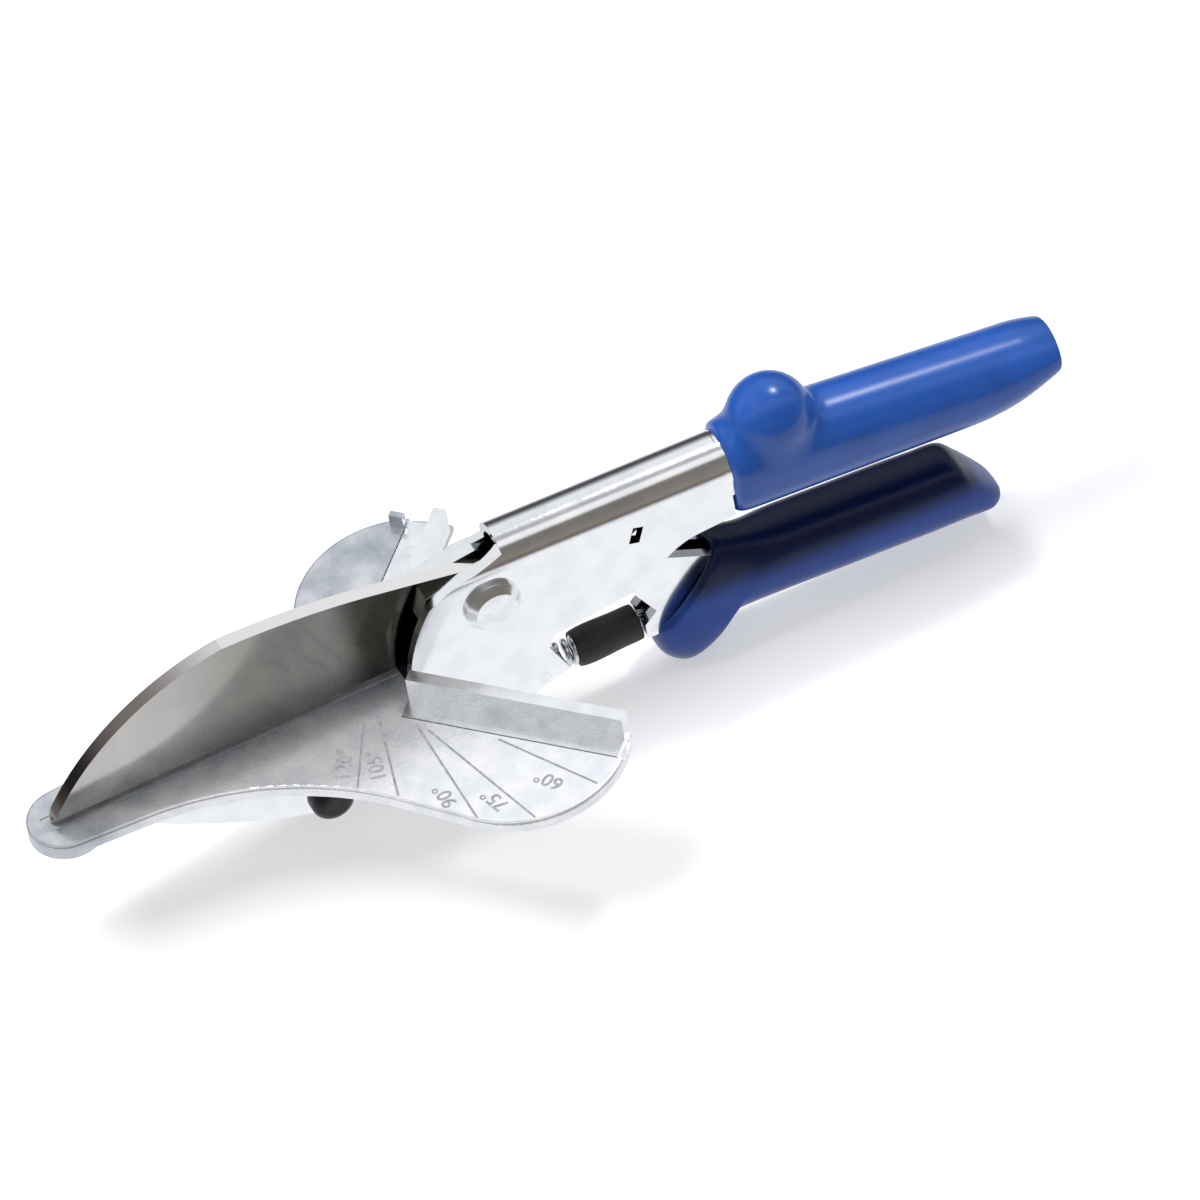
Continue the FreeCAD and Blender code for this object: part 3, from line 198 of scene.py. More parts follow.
def add_painted_shade(material):
    """Lay painted shade over a finish: the strongest of three steps, one for each place, times a noise."""
    nodes, links = material.node_tree.nodes, material.node_tree.links
    place = axes(material)
    far_wing = eased(nodes, links, place["Y"], FAR_WING_FROM, FAR_WING_TO)
    nose = eased(nodes, links, place["X"], NOSE_FROM, NOSE_TO)
    aside = joined(nodes, links, "ABSOLUTE", place["Y"], 0.0)
    along_blade = eased(nodes, links, aside, BLADE_SIDE_FROM, BLADE_SIDE_TO)
    strongest = joined(nodes, links, "MAXIMUM", joined(nodes, links, "MAXIMUM", far_wing, nose), along_blade)
    clouds = nodes.new("ShaderNodeTexNoise")
    clouds.inputs["Scale"].default_value = CLOUD_SCALE
    clouds.inputs["Detail"].default_value = CLOUD_DETAIL
    links.new(nodes["Texture Coordinate"].outputs["Object"], clouds.inputs["Vector"])
    broken = joined(nodes, links, "MULTIPLY", strongest, clouds.outputs["Fac"])
    # Painted shade: the darker blue-grey laid over the table's own colour.
    overlaid(material, joined(nodes, links, "MULTIPLY", broken, PAINTED_SHADE_STRENGTH), PAINTED_SHADE_COLOUR)


add_painted_shade(cast_zinc)
dress(cast_zinc, "mitre_table")


# ---------------------------------------------------------------- angle scale
# Five engraved lines fan out over the near wing, filled with grey, and each carries its angle in degrees.
# The figures stand on their lines and read from the handles' side.
# Each line: its foot's X, where it starts and ends away from the foot, and its figure's place along and
# above it.
SCALE = {
    60: (5.4, 30.0, 52.4, 43.9, 3.6),
    75: (5.6, 17.7, 48.2, 39.5, 2.4),
    90: (8.8, 14.6, 41.0, 33.1, 2.8),
    105: (6.1, 9.5, 29.4, 21.0, 2.6),
    120: (5.9, 10.4, 26.2, 20.5, 2.9),
}
LINE_WIDE = 0.45
LINE_HEIGHT = -0.12
FIGURE_TALL = 4.1
FIGURE_THICK = 0.004
FIGURE_BOLDER = 0.06
FACE_HEIGHT = 0.02

scale_ink = finish("scale_ink", (0.40, 0.41, 0.42), (0.26, 0.26, 0.27), 0.0, 0.55, 0.0006, 0.0012)


def linked(name, data):
    """A new object in the scene."""
    item = bpy.data.objects.new(name, data)
    bpy.context.scene.collection.objects.link(item)
    return item


def flat_piece(name, corners, faces, material, body):
    """A flat piece from its corners in millimetres."""
    mesh = bpy.data.meshes.new(name)
    mesh.from_pydata((np.asarray(corners) * MM).tolist(), [], faces)
    mesh.materials.append(material)
    piece = linked(name, mesh)
    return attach(piece, body)


def scale_line(foot, outward, start, end):
    """Corners of a bar of constant width that lies in its groove, from start to end away from its foot."""
    across = np.array([-outward[1], outward[0]]) * LINE_WIDE / 2
    near, far = foot + outward * start, foot + outward * end
    return [(*corner, LINE_HEIGHT) for corner in (near - across, far - across, far + across, near + across)]


for degrees, (foot_x, start, end, middle, lift) in SCALE.items():
    foot = np.array([foot_x, 0.0])
    outward = np.array([math.cos(math.radians(degrees)), -math.sin(math.radians(degrees))])
    line = flat_piece(f"scale_line_{degrees}", scale_line(foot, outward, start, end), [(0, 1, 2, 3)],
                      scale_ink, "frame")

    words = bpy.data.curves.new(f"scale_figure_{degrees}", "FONT")
    words.body = f"{degrees}°"
    words.size = FIGURE_TALL * MM
    words.align_x, words.align_y = "CENTER", "CENTER"
    words.extrude = FIGURE_THICK * MM
    words.offset = FIGURE_BOLDER * MM
    writing = linked(f"scale_figure_{degrees}", words)
    away = Vector((*outward, 0))
    above = Vector((away.y, -away.x, 0))
    place = Matrix((-away, above, Vector((0, 0, 1)))).transposed().to_4x4()
    place.translation = (Vector((*foot, FACE_HEIGHT)) + away * middle + above * lift) * MM
    mesh = bpy.data.meshes.new_from_object(writing)
    mesh.transform(place)
    mesh.materials.clear()
    mesh.materials.append(scale_ink)
    bpy.data.objects.remove(writing)
    figure = linked(f"scale_figure_{degrees}", mesh)
    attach(figure, "frame")


# ---------------------------------------------------------------- anvil insert
# A grey plastic bar let into the groove under the blade, soft enough to spare the edge. Only its top shows,
# as a thin line beside the blade.
anvil_plastic = finish("anvil_plastic", (0.46, 0.47, 0.48), (0.34, 0.35, 0.37), 0.0, 0.45, 0.0007, 0.004)
dress(anvil_plastic, "anvil_insert")


# ---------------------------------------------------------------- stop fences and their rivets
# Two plated angle bars, one for each mitre, riveted into shallow seats in the table. Their fine grain is
# drawn out level, as on a brushed face.
fence_plate = finish("fence_plate", (0.92, 0.93, 0.94), (0.80, 0.82, 0.85), 0.9, 0.27, 0.0005, 0.005,
                     stretch=(0.25, 0.25, 1), bump=0.000005)
dress(fence_plate, "near_fence", "far_fence", "fence_rivets")


# ---------------------------------------------------------------- blade
# Ground tool steel, with fine grinding marks along its length. Light and shade are painted on: the back is
# bright where it runs nearly level and dark where it falls to the point, and the plate darkens to its heel.
BACK_FROM, BACK_TO = 0.30, 0.45
LEAN_FROM, LEAN_TO = -0.50, -0.04
BRIGHT_BACK, DARK_BACK = (0.86, 0.85, 0.84), (0.20, 0.17, 0.155)
PLATE_SHADE_FROM, PLATE_SHADE_TO = -0.044, -0.014
PLATE_SHADE_COLOUR = (0.33, 0.32, 0.30)
HEEL_FROM, HEEL_TO = -0.0010, 0.0070
HEEL_COLOUR = (0.075, 0.073, 0.062)

ground_steel = finish("ground_steel", (0.57, 0.555, 0.535), (0.50, 0.485, 0.465), 1.0, 0.13, 0.0003, 0.012,
                      stretch=(0.06, 1, 1), bump=0.000003)


def shade_blade(material):
    """Paint shade on the blade towards its heel, then paint its back bright or dark by how far it leans
    forward.
    """
    nodes, links = material.node_tree.nodes, material.node_tree.links
    along = axes(material)["X"]
    overlaid(material, eased(nodes, links, along, PLATE_SHADE_FROM, PLATE_SHADE_TO), PLATE_SHADE_COLOUR)
    overlaid(material, eased(nodes, links, along, HEEL_FROM, HEEL_TO), HEEL_COLOUR)
    direction = axes(material, "Normal")
    back = nodes.new("ShaderNodeMix")
    back.data_type = "RGBA"
    back.inputs["A"].default_value = (*DARK_BACK, 1)
    back.inputs["B"].default_value = (*BRIGHT_BACK, 1)
    links.new(eased(nodes, links, direction["X"], LEAN_FROM, LEAN_TO), back.inputs["Factor"])
    overlaid(material, eased(nodes, links, direction["Z"], BACK_FROM, BACK_TO), back.outputs["Result"])


shade_blade(ground_steel)
dress(ground_steel, "blade")


# ---------------------------------------------------------------- pivot and other turned fasteners
# Bright zinc-plated bolt, washer, nut, rivets and pins. Inside the pivot are a plain bronze bush and two
# thin plastic shims.
turned_zinc = finish("turned_zinc", (0.92, 0.93, 0.94), (0.80, 0.82, 0.84), 1.0, 0.22, 0.0003, 0.003,
                     bump=0.000006)
dress(turned_zinc, "pivot_bolt", "pivot_washer", "pivot_nut", "blade_rivets", "table_nut", "table_dowels",
      "frame_spring_pin", "lever_spring_pin")
bronze = finish("bronze", (0.66, 0.45, 0.20), (0.55, 0.36, 0.15), 1.0, 0.32, 0.0004, 0.003)
dress(bronze, "pivot_bush")
shim_plastic = finish("shim_plastic", (0.80, 0.80, 0.76), (0.70, 0.70, 0.66), 0.0, 0.4, 0.0005, 0.003)
dress(shim_plastic, "pivot_shims")


# ---------------------------------------------------------------- black table bolt
# Blacked steel with a domed head, on the near cheek under the table. It clamps the cheeks on the table's
# keel.
black_oxide = finish("black_oxide", (0.024, 0.026, 0.030), (0.014, 0.015, 0.017), 0.6, 0.38, 0.0005, 0.003)
dress(black_oxide, "table_bolt")


# ---------------------------------------------------------------- upper grip
# Blue vinyl, dipped over the frame's channel in one skin. It swells at the front rim, runs up into a
# thumb stop, is deeper below at the front than at the rear, and ends square on top and rounded below.
GRIP_SLOPE = math.radians(9.5)
GRIP_START = np.array([81.4, 0.0, 15.96])
GRIP_LONG = 68.7
GRIP_RADIUS = 8.3
RIM_RADIUS = 7.3
HEEL_DROP, HEEL_LONG = 3.6, 55.0
THUMB_AT, THUMB_UP, THUMB_RADIUS = 9.9, 8.45, 8.0
THUMB_BLEND = 3.0
TOP_DROP, TOP_DROP_LONG, TOP_CORNER = 1.0, 8.0, 1.0
BOTTOM_ROUND = 19.0
RIM_SWELL_LONG, RIM_SWELL_POWER = 1.8, 1.5
RIM_EDGE, RIM_EDGE_LONG = 0.9, 0.35
RIM_LEAN, RIM_LEAN_LONG = 0.16, 2.5
HEEL_START = 0.9
SIDE_SHARE = 0.7
FARTHEST, HALVINGS = 30.0, 40

dipped_vinyl = finish("dipped_vinyl", (0.016, 0.100, 0.45), (0.012, 0.080, 0.37), 0.0, 0.24, 0.0045, 0.012,
                      gloss=0.5)


def smooth_union(first, second, blend):
    """The lesser of two distances, with the corner between them rounded over the distance `blend`."""
    near = np.clip(blend - np.abs(first - second), 0, None) / blend
    return np.minimum(first, second) - near * near * blend / 4


def quads_between(rows, around, count):
    """Four-sided faces from each of the first `rows` rings to the next, out of `count` rings in all."""
    ring, step = np.meshgrid(np.arange(rows), np.arange(around), indexing="ij")
    following, after = (ring + 1) % count, (step + 1) % around
    corners = [ring * around + step, ring * around + after, following * around + after,
               following * around + step]
    return np.stack(corners, -1).reshape(-1, 4).tolist()


def smooth_piece(name, points, faces, material, body):
    """A smooth piece from its points in millimetres, riding on a body."""
    mesh = bpy.data.meshes.new(name)
    mesh.from_pydata((points * MM).tolist(), [], faces)
    mesh.materials.append(material)
    mesh.shade_smooth()
    piece = linked(name, mesh)
    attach(piece, body)
    return piece


def skin(name, rings, material, body):
    """A closed skin through rings of points, of shape (rings, around, 3), with a fan at each end."""
    count, around = rings.shape[:2]
    points = np.concatenate([rings.reshape(-1, 3), np.stack([rings[0].mean(0), rings[-1].mean(0)])])
    first = np.arange(around)
    last = (count - 1) * around + first
    front_fan = [first, np.full(around, count * around), (first + 1) % around]
    rear_fan = [last, (count - 1) * around + (first + 1) % around, np.full(around, count * around + 1)]
    faces = (quads_between(count - 1, around, count) + np.stack(front_fan, -1).tolist()
             + np.stack(rear_fan, -1).tolist())
    return smooth_piece(name, points, faces, material, body)


def upper_grip_rings(stations=170, around=96):
    """Rings along the grip's axis, found by halving.

    The tube's section is a circle drawn out downwards by the heel's depth there. Its radius swells from the
    rim. At the end the top falls a little and then turns a tight corner, and the bottom is a quarter of an
    ellipse. The thumb stop is a ball, blended in. Each ring's radius at each angle is the distance from the
    axis at which the union of tube and ball ends. Over the first millimetres the rim leans forward at its
    top.
    """
    along = GRIP_LONG * (1 - np.cos(np.linspace(0, math.pi, stations))) / 2
    turn = np.linspace(0, 2 * math.pi, around, endpoint=False)
    u, t = np.meshgrid(along, turn, indexing="ij")
    swell = (GRIP_RADIUS - (GRIP_RADIUS - RIM_RADIUS) * np.exp(-(u / RIM_SWELL_LONG) ** RIM_SWELL_POWER)
             - RIM_EDGE * np.exp(-(u / RIM_EDGE_LONG) ** 2))
    drop = TOP_DROP * np.clip((u - (GRIP_LONG - TOP_DROP_LONG)) / TOP_DROP_LONG, 0, 1) ** 2
    corner = np.clip((u - (GRIP_LONG - TOP_CORNER)) / TOP_CORNER, 0, 1)
    rounding = np.clip((u - (GRIP_LONG - BOTTOM_ROUND)) / BOTTOM_ROUND, 0, 1)
    top = (swell - drop) * np.sqrt(1 - corner ** 2)
    bottom = swell * np.sqrt(1 - rounding ** 2)
    share = np.clip((np.cos(t) + SIDE_SHARE) / (2 * SIDE_SHARE), 0, 1)
    share = share * share * (3 - 2 * share)
    tube = share * top + (1 - share) * bottom
    depth = HEEL_DROP * np.clip(1 - u / HEEL_LONG, 0, 1) * (1 - np.exp(-(u / HEEL_START) ** 2))
    low, high = np.zeros_like(u), np.full_like(u, FARTHEST)
    for _ in range(HALVINGS):
        reach = (low + high) / 2
        up, side = reach * np.cos(t), reach * np.sin(t)
        to_tube = np.hypot(up - np.clip(up, -depth, 0), side) - tube
        to_ball = np.sqrt((u - THUMB_AT) ** 2 + (up - THUMB_UP) ** 2 + side ** 2) - THUMB_RADIUS
        outside = smooth_union(to_tube, to_ball, THUMB_BLEND) > 0
        low, high = np.where(outside, low, reach), np.where(outside, reach, high)
    reach = (low + high) / 2
    forward = np.array([math.cos(GRIP_SLOPE), 0, -math.sin(GRIP_SLOPE)])
    upward = np.array([math.sin(GRIP_SLOPE), 0, math.cos(GRIP_SLOPE)])
    sideways = np.array([0, 1, 0])
    lean = RIM_LEAN * np.clip(reach * np.cos(t), 0, None) * np.exp(-u / RIM_LEAN_LONG)
    return (GRIP_START + (u - lean)[..., None] * forward + (reach * np.cos(t))[..., None] * upward
            + (reach * np.sin(t))[..., None] * sideways)


upper_grip = skin("upper_grip_skin", upper_grip_rings(), dipped_vinyl, "frame")
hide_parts("upper_grip")


# ---------------------------------------------------------------- lower grip
# Vinyl over the lever's channel. Its colour is painted shade: a darker copy of the upper grip's vinyl, and
# nearly black on top, under the upper grip. A finger guard hangs at the front, the mouth is open towards the
# lever, and the rear ends in a blunt beak.
# Each row: lower point x and z, upper point x and z, half width.
LOWER_GRIP = np.array([
    (61.7, -19.3, 76.6, -2.8, 6.4),
    (61.8, -22.6, 77.6, -3.0, 6.7),
    (62.6, -26.0, 79.0, -3.6, 6.9),
    (64.6, -28.7, 80.8, -4.3, 7.0),
    (66.8, -29.7, 82.8, -5.0, 7.0),
    (69.8, -28.2, 84.8, -5.6, 7.0),
    (71.4, -25.4, 86.9, -6.0, 7.0),
    (72.9, -22.6, 89.2, -6.3, 7.0),
    (76.0, -21.1, 92.4, -6.6, 7.0),
    (88.0, -21.8, 97.5, -7.1, 7.0),
    (99.0, -22.8, 104.0, -7.75, 7.0),
    (110.0, -23.7, 112.0, -8.5, 7.0),
    (120.0, -24.6, 119.5, -9.3, 6.9),
    (126.0, -25.1, 125.2, -10.0, 6.7),
    (129.0, -25.4, 128.4, -13.8, 6.3),
    (131.2, -25.4, 131.2, -17.9, 5.6),
    (132.8, -24.6, 133.3, -21.1, 4.2),
    (133.8, -23.7, 134.1, -22.8, 2.2),
])
# The mouth, from the inside out: depth, share of the front edge's length, and half width. A lip closes on
# the lever's cheeks, and the room behind it holds the wider channel.
MOUTH = np.array([
    (7.0, 0.82, 5.4),
    (2.0, 0.86, 5.4),
    (1.4, 0.87, 3.8),
    (0.4, 0.88, 3.8),
    (-0.15, 0.92, 4.6),
])
MOUTH_INWARD = np.array([0.75, -0.66])
SIDE_POWER = 0.74
SHADED_FROM, SHADED_TO = -0.0085, -0.0020
SHADED_COLOUR = (0.002, 0.008, 0.050)
GRIP_FALL = 0.08

# A darker copy of the upper grip's vinyl, for painted shade.
shaded_vinyl = finish("shaded_vinyl", (0.020, 0.075, 0.36), (0.014, 0.058, 0.30), 0.0, 0.32, 0.0045, 0.012,
                    gloss=0.25)


def darken_top(material):
    """Paint shade on the vinyl: nearly black on top, by the height above a line that falls as the grip does.
    """
    nodes, links = material.node_tree.nodes, material.node_tree.links
    place = axes(material)
    level = joined(nodes, links, "ADD", place["Z"], joined(nodes, links, "MULTIPLY", place["X"], GRIP_FALL))
    overlaid(material, eased(nodes, links, level, SHADED_FROM, SHADED_TO), SHADED_COLOUR)


darken_top(shaded_vinyl)


def through_rows(rows, count):
    """A smooth run through rows of numbers: between two rows each number follows the cubic that leaves one
    row and reaches the next in step with their neighbours."""
    padded = np.vstack([2 * rows[0] - rows[1], rows, 2 * rows[-1] - rows[-2]])
    place = np.linspace(0, len(rows) - 1, count)
    index = np.minimum(place.astype(int), len(rows) - 2)
    t = (place - index)[:, None]
    before, start, end, after = (padded[index + k] for k in range(4))
    return 0.5 * (2 * start + (end - before) * t + (2 * before - 5 * start + 4 * end - after) * t ** 2
                  + (3 * start - before - 3 * end + after) * t ** 3)


def lower_grip_rings(count=120, around=72):
    """Rings between the lower and the upper line of the grip: each ring is a rounded box, a circle whose
    sine and cosine are raised to a power below one. The first rings turn inwards and make the mouth."""
    rows = through_rows(LOWER_GRIP, count)
    depth, share, half_width = MOUTH.T
    low, high = rows[0, :2], rows[0, 2:4]
    centre = (low + high) / 2 + depth[:, None] * MOUTH_INWARD
    half = (high - low) / 2 * share[:, None]
    rows = np.vstack([np.column_stack([centre - half, centre + half, half_width]), rows])
    turn = np.linspace(0, 2 * math.pi, around, endpoint=False)
    up = np.sign(np.sin(turn)) * np.abs(np.sin(turn)) ** SIDE_POWER
    out = np.sign(np.cos(turn)) * np.abs(np.cos(turn)) ** SIDE_POWER
    middle = (rows[:, :2] + rows[:, 2:4]) / 2
    half = (rows[:, 2:4] - rows[:, :2]) / 2
    flat = middle[:, None, :] + half[:, None, :] * up[None, :, None]
    return np.stack([flat[..., 0], -rows[:, 4][:, None] * out[None, :], flat[..., 1]], -1)


lower_grip = skin("lower_grip_skin", lower_grip_rings(), shaded_vinyl, "lever")
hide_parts("lower_grip")


# ---------------------------------------------------------------- return spring
# Plated spring wire: an eye on each pin, and nine turns between two straight legs. Stretched while the
# tool is shut, it shortens along the line between the pins as the handles open.
FRAME_PIN, LEVER_PIN = np.array([38.0, 0, -13.6]), np.array([61.9, 0, -17.0])
COIL_FRONT, COIL_REAR, COIL_HEIGHT, COIL_RADIUS, COIL_TURNS = 43.0, 58.6, -17.0, 2.3, 9
LEG_STEPS = 8
WIRE_RADIUS = 0.6
FRONT_EYE, REAR_EYE = 1.85, 1.65

spring_wire = finish("spring_wire", (0.72, 0.74, 0.76), (0.58, 0.60, 0.62), 1.0, 0.26, 0.0003, 0.002)


def wire_rings(path, normals, radius, around=14):
    """Circles of the wire's radius along a path, each across the path and turned by its normal."""
    tangents = np.gradient(path, axis=0)
    tangents /= np.linalg.norm(tangents, axis=1, keepdims=True)
    normals = normals - (normals * tangents).sum(1, keepdims=True) * tangents
    normals /= np.linalg.norm(normals, axis=1, keepdims=True)
    sides = np.cross(tangents, normals)
    turn = np.linspace(0, 2 * math.pi, around, endpoint=False)
    return (path[:, None] + radius * (np.cos(turn)[None, :, None] * normals[:, None]
                                      + np.sin(turn)[None, :, None] * sides[:, None]))


def coil_path(per_turn=26):
    """A straight leg from the front eye, a helix about the spring's axis that starts and ends on top, and a
    straight leg to the rear eye."""
    start = FRAME_PIN + np.array([0, 0, -FRONT_EYE])
    end = LEVER_PIN + np.array([0, 0, REAR_EYE])
    turns = np.linspace(0, COIL_TURNS, COIL_TURNS * per_turn + 1)
    angle = turns * 2 * math.pi
    radial = np.stack([np.zeros_like(angle), np.sin(angle), np.cos(angle)], 1)
    along = np.stack([COIL_FRONT + (COIL_REAR - COIL_FRONT) * turns / COIL_TURNS, 0 * turns,
                      np.full_like(turns, COIL_HEIGHT)], 1)
    helix = along + COIL_RADIUS * radial
    share = np.linspace(0, 1, LEG_STEPS, endpoint=False)[:, None]
    front_leg = start + (helix[0] - start) * share
    rear_leg = (end + (helix[-1] - end) * share)[::-1]
    upright = np.tile([0.0, 0, 1], (LEG_STEPS, 1))
    return np.vstack([front_leg, helix, rear_leg]), np.vstack([upright, radial, upright])


def eye_rings(centre, radius, around=14, steps=40):
    """A ring of wire about a pin that lies across the tool."""
    turn = np.linspace(0, 2 * math.pi, steps, endpoint=False)
    outward = np.stack([np.cos(turn), 0 * turn, np.sin(turn)], 1)
    section = np.linspace(0, 2 * math.pi, around, endpoint=False)
    across = np.array([0.0, 1, 0])
    wire = WIRE_RADIUS * (np.cos(section)[None, :, None] * outward[:, None]
                          + np.sin(section)[None, :, None] * across)
    return centre + radius * outward[:, None] + wire


def loop(name, rings, material, body):
    """A surface that closes both round its rings and along them, such as an eye or a sleeve."""
    count, around = rings.shape[:2]
    return smooth_piece(name, rings.reshape(-1, 3), quads_between(count, around, count), material, body)


coil_rings = wire_rings(*coil_path(), WIRE_RADIUS)
spring_coil = skin("spring_coil", coil_rings, spring_wire, "spring")
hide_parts("return_spring")
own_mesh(spring_coil)
loop("spring_eye_front", eye_rings(FRAME_PIN, FRONT_EYE), spring_wire, "frame")
loop("spring_eye_rear", eye_rings(LEVER_PIN, REAR_EYE), spring_wire, "lever")


# ---------------------------------------------------------------- spring sleeve
# A short length of black rubber tube pushed over the coil. It swells a little where the turns press it, and
# grows short with the coil as the handles open.
SLEEVE_FRONT, SLEEVE_REAR, SLEEVE_RADIUS, SLEEVE_WALL = 46.4, 59.4, 3.7, 0.85
END_FALL, END_POWER = 0.22, 8
WAVE_HIGH, WAVES_ROUND, WAVE_TWIST = 0.10, 2, 0.5

sleeve_rubber = finish("sleeve_rubber", (0.030, 0.030, 0.031), (0.016, 0.016, 0.017), 0.0, 0.58, 0.0008,
                       0.003, bump=0.00008)


def sleeve_rings(around=64, steps=40):
    """For each angle about the axis, a closed loop along the outside, round the end, back along the bore and
    round the other end. The outside falls a little at both ends, and swells and dips by a tenth of a
    millimetre in two slow waves that twist along the tube."""
    share = np.linspace(0, 1, steps)
    x_out = SLEEVE_FRONT + (SLEEVE_REAR - SLEEVE_FRONT) * share
    inner = SLEEVE_RADIUS - SLEEVE_WALL
    x = np.concatenate([x_out, x_out[::-1]])
    outer = SLEEVE_RADIUS - END_FALL * (2 * share - 1) ** END_POWER
    radius = np.concatenate([outer, np.full(steps, inner)])
    outside = np.concatenate([np.ones(steps), np.zeros(steps)])
    turn = np.linspace(0, 2 * math.pi, around, endpoint=False)
    wave = WAVE_HIGH * np.sin(WAVES_ROUND * turn[:, None] + WAVE_TWIST * x[None]) * outside
    r = radius[None] + wave
    x = np.broadcast_to(x, r.shape)
    return np.stack([x, r * np.sin(turn)[:, None], COIL_HEIGHT + r * np.cos(turn)[:, None]], -1)


sleeve = loop("spring_sleeve_tube", sleeve_rings()[::-1], sleeve_rubber, "spring")
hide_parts("spring_sleeve")
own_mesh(sleeve)


# ---------------------------------------------------------------- studio
# A white floor under the tool, a wide soft lamp above it and a small bright one. What the plated parts
# mirror is a pool of light on the floor and bright strips overhead, in a grey room with a dark horizon.
FLOOR_HEIGHT = -0.0308
FLOOR_HALF = 3.0
FLOOR_COLOUR = (0.70, 0.70, 0.71)
FLOOR_GLOW = 0.42
POOL_MIDDLE, POOL_SHAPE = (-0.020, 0, 0), (0.4, 1, 0)
POOL_FROM, POOL_TO = 0.09, 0.30
POOL_COLOUR, BEYOND_COLOUR = (0.97, 0.98, 1.0), (0.16, 0.14, 0.13)
EVEN_COLOUR, EVEN_STRENGTH = (0.95, 0.97, 1.0), 0.45
# What metal mirrors, from the horizon in front (0) by straight up (0.5) to the horizon behind (1).
ROOM_COLOURS = ((0.00, (0.26, 0.235, 0.205)), (0.10, (0.22, 0.20, 0.175)), (0.29, (0.18, 0.165, 0.15)),
                (0.335, (0.95, 0.95, 0.96)), (0.42, (1.0, 1.0, 1.0)), (0.46, (0.42, 0.42, 0.45)),
                (0.58, (0.34, 0.35, 0.38)), (0.66, (0.80, 0.81, 0.84)), (0.78, (0.90, 0.91, 0.93)),
                (0.85, (0.45, 0.46, 0.50)), (0.91, (0.10, 0.10, 0.12)), (1.00, (0.05, 0.05, 0.06)))


def rays_of(nodes, links, plain, seen, mirrored):
    """Mix three shaders by ray: `mirrored` for what metal reflects, `seen` for what the camera or glass looks
    at, and `plain` for the light that falls on the tool."""
    path = nodes.new("ShaderNodeLightPath")
    direct = joined(nodes, links, "MAXIMUM", path.outputs["Is Camera Ray"],
                    path.outputs["Is Transmission Ray"])
    first = nodes.new("ShaderNodeMixShader")
    links.new(direct, first.inputs["Fac"])
    links.new(plain, first.inputs[1])
    links.new(seen, first.inputs[2])
    second = nodes.new("ShaderNodeMixShader")
    links.new(path.outputs["Is Glossy Ray"], second.inputs["Fac"])
    links.new(first.outputs["Shader"], second.inputs[1])
    links.new(mirrored, second.inputs[2])
    return second.outputs["Shader"]


floor_mesh = bpy.data.meshes.new("floor")
corner_signs = ((-1, -1), (1, -1), (1, 1), (-1, 1))
floor_corners = [(x * FLOOR_HALF, y * FLOOR_HALF, FLOOR_HEIGHT) for x, y in corner_signs]
floor_mesh.from_pydata(floor_corners, [], [(0, 1, 2, 3)])
floor = linked("floor", floor_mesh)
white_floor = bpy.data.materials.new("white_floor")
white_floor.use_nodes = True
nodes, links = white_floor.node_tree.nodes, white_floor.node_tree.links
nodes.remove(nodes["Principled BSDF"])
lit = nodes.new("ShaderNodeBsdfDiffuse")
lit.inputs["Color"].default_value = (*FLOOR_COLOUR, 1)
glow = nodes.new("ShaderNodeEmission")
glow.inputs["Strength"].default_value = FLOOR_GLOW
both = nodes.new("ShaderNodeAddShader")
links.new(lit.outputs["BSDF"], both.inputs[0])
links.new(glow.outputs["Emission"], both.inputs[1])
place = nodes.new("ShaderNodeTexCoord")
about_tool = nodes.new("ShaderNodeMapping")
about_tool.inputs["Location"].default_value = POOL_MIDDLE
about_tool.inputs["Scale"].default_value = POOL_SHAPE
links.new(place.outputs["Object"], about_tool.inputs["Vector"])
spacing = nodes.new("ShaderNodeVectorMath")
spacing.operation = "LENGTH"
links.new(about_tool.outputs["Vector"], spacing.inputs[0])
fade = nodes.new("ShaderNodeMix")
fade.data_type = "RGBA"
fade.inputs["A"].default_value = (*POOL_COLOUR, 1)
fade.inputs["B"].default_value = (*BEYOND_COLOUR, 1)
links.new(eased(nodes, links, spacing.outputs["Value"], POOL_FROM, POOL_TO), fade.inputs["Factor"])
under = nodes.new("ShaderNodeEmission")
links.new(fade.outputs["Result"], under.inputs["Color"])
floor_look = rays_of(nodes, links, lit.outputs["BSDF"], both.outputs["Shader"], under.outputs["Emission"])
links.new(floor_look, nodes["Material Output"].inputs["Surface"])
floor_mesh.materials.append(white_floor)

room = bpy.data.worlds.new("room")
bpy.context.scene.world = room
room.use_nodes = True
nodes, links = room.node_tree.nodes, room.node_tree.links
even = nodes["Background"]
even.inputs["Color"].default_value = (*EVEN_COLOUR, 1)
even.inputs["Strength"].default_value = EVEN_STRENGTH
white = nodes.new("ShaderNodeBackground")
white.inputs["Strength"].default_value = 1.0
place = nodes.new("ShaderNodeTexCoord")
split = nodes.new("ShaderNodeSeparateXYZ")
links.new(place.outputs["Generated"], split.inputs["Vector"])
lean = joined(nodes, links, "ARCTAN2", split.outputs["Y"], split.outputs["Z"])
front_to_back = nodes.new("ShaderNodeMapRange")
front_to_back.inputs["From Min"].default_value = -math.pi / 2
front_to_back.inputs["From Max"].default_value = math.pi / 2
links.new(lean, front_to_back.inputs["Value"])
walls = nodes.new("ShaderNodeValToRGB")
ramp = walls.color_ramp
ramp.elements[0].position, ramp.elements[0].color = ROOM_COLOURS[0][0], (*ROOM_COLOURS[0][1], 1)
ramp.elements[1].position, ramp.elements[1].color = ROOM_COLOURS[-1][0], (*ROOM_COLOURS[-1][1], 1)
for position, colour in ROOM_COLOURS[1:-1]:
    ramp.elements.new(position).color = (*colour, 1)
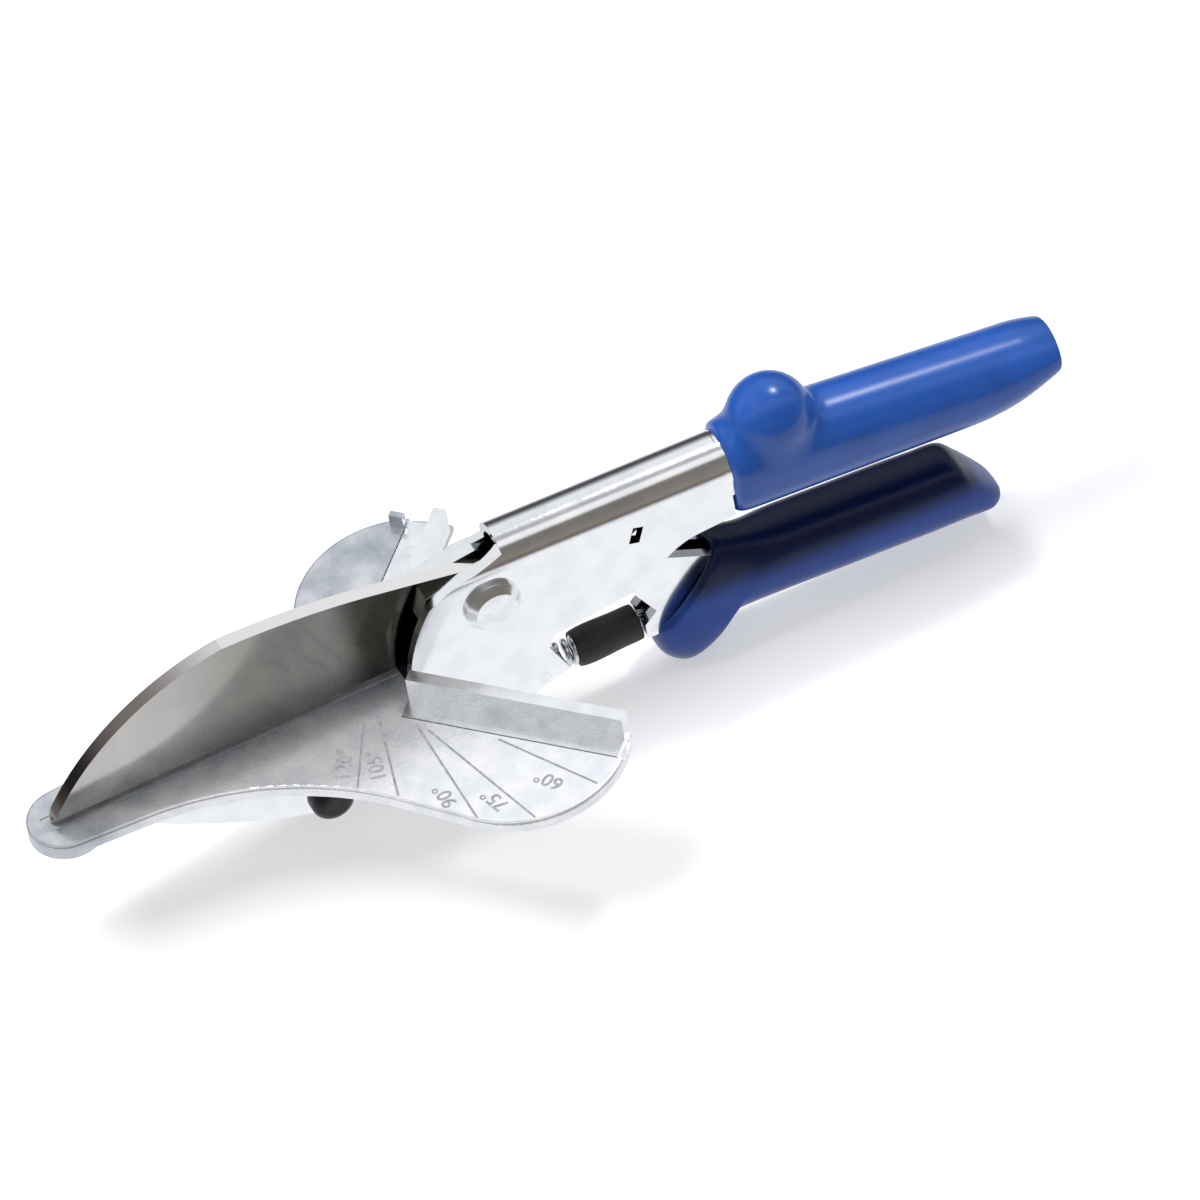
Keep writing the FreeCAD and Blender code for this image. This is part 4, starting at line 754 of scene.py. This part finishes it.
links.new(front_to_back.outputs["Result"], walls.inputs["Fac"])
mirrored = nodes.new("ShaderNodeBackground")
links.new(walls.outputs["Color"], mirrored.inputs["Color"])
room_look = rays_of(nodes, links, even.outputs["Background"], white.outputs["Background"],
                    mirrored.outputs["Background"])
links.new(room_look, nodes["World Output"].inputs["Surface"])


def soft_lamp(name, towards, distance, size, power):
    """A square lamp at a distance from the tool's middle, facing it."""
    lamp = bpy.data.lights.new(name, "AREA")
    lamp.size = size
    lamp.energy = power
    item = linked(name, lamp)
    direction = Vector(towards).normalized()
    item.location = VIEW_CENTRE + direction * distance
    item.rotation_euler = direction.to_track_quat("Z", "Y").to_euler()
    return item


VIEW_CENTRE = Vector((50.1, -9.8, 5.05)) * MM
LAMP_DISTANCE = 0.9
key_lamp = soft_lamp("key_lamp", (-0.42, 0.15, 0.89), LAMP_DISTANCE, 0.42, 5.4)
key_lamp.visible_glossy = False
soft_lamp("spot_lamp", (0.435, 0.25, 0.861), LAMP_DISTANCE, 0.12, 2.6)


# ---------------------------------------------------------------- camera
# A long lens from the near left, about 49 degrees above the table, with the tool tilted in the frame. It
# stands far off, so the tool has almost no perspective.
VIEW_RIGHT = Vector((0.8926, -0.4339, -0.1219))
VIEW_UP = Vector((0.4049, 0.6531, 0.6400))
VIEW_DISTANCE = 5.0
PICTURE_SIDE, DOTS_PER_MM = 1200, 5.376
SHOWN_ACROSS = PICTURE_SIDE / DOTS_PER_MM * MM
SENSOR_WIDE = 36

lens = bpy.data.cameras.new("camera")
lens.sensor_width = SENSOR_WIDE
lens.lens = lens.sensor_width * VIEW_DISTANCE / SHOWN_ACROSS
camera = linked("camera", lens)
toward = VIEW_RIGHT.cross(VIEW_UP).normalized()
right = VIEW_UP.cross(toward).normalized()
pose = Matrix((right, toward.cross(right), toward)).transposed().to_4x4()
pose.translation = VIEW_CENTRE + toward * VIEW_DISTANCE
camera.matrix_world = pose
bpy.context.scene.camera = camera
bpy.context.scene.view_settings.view_transform = "Standard"
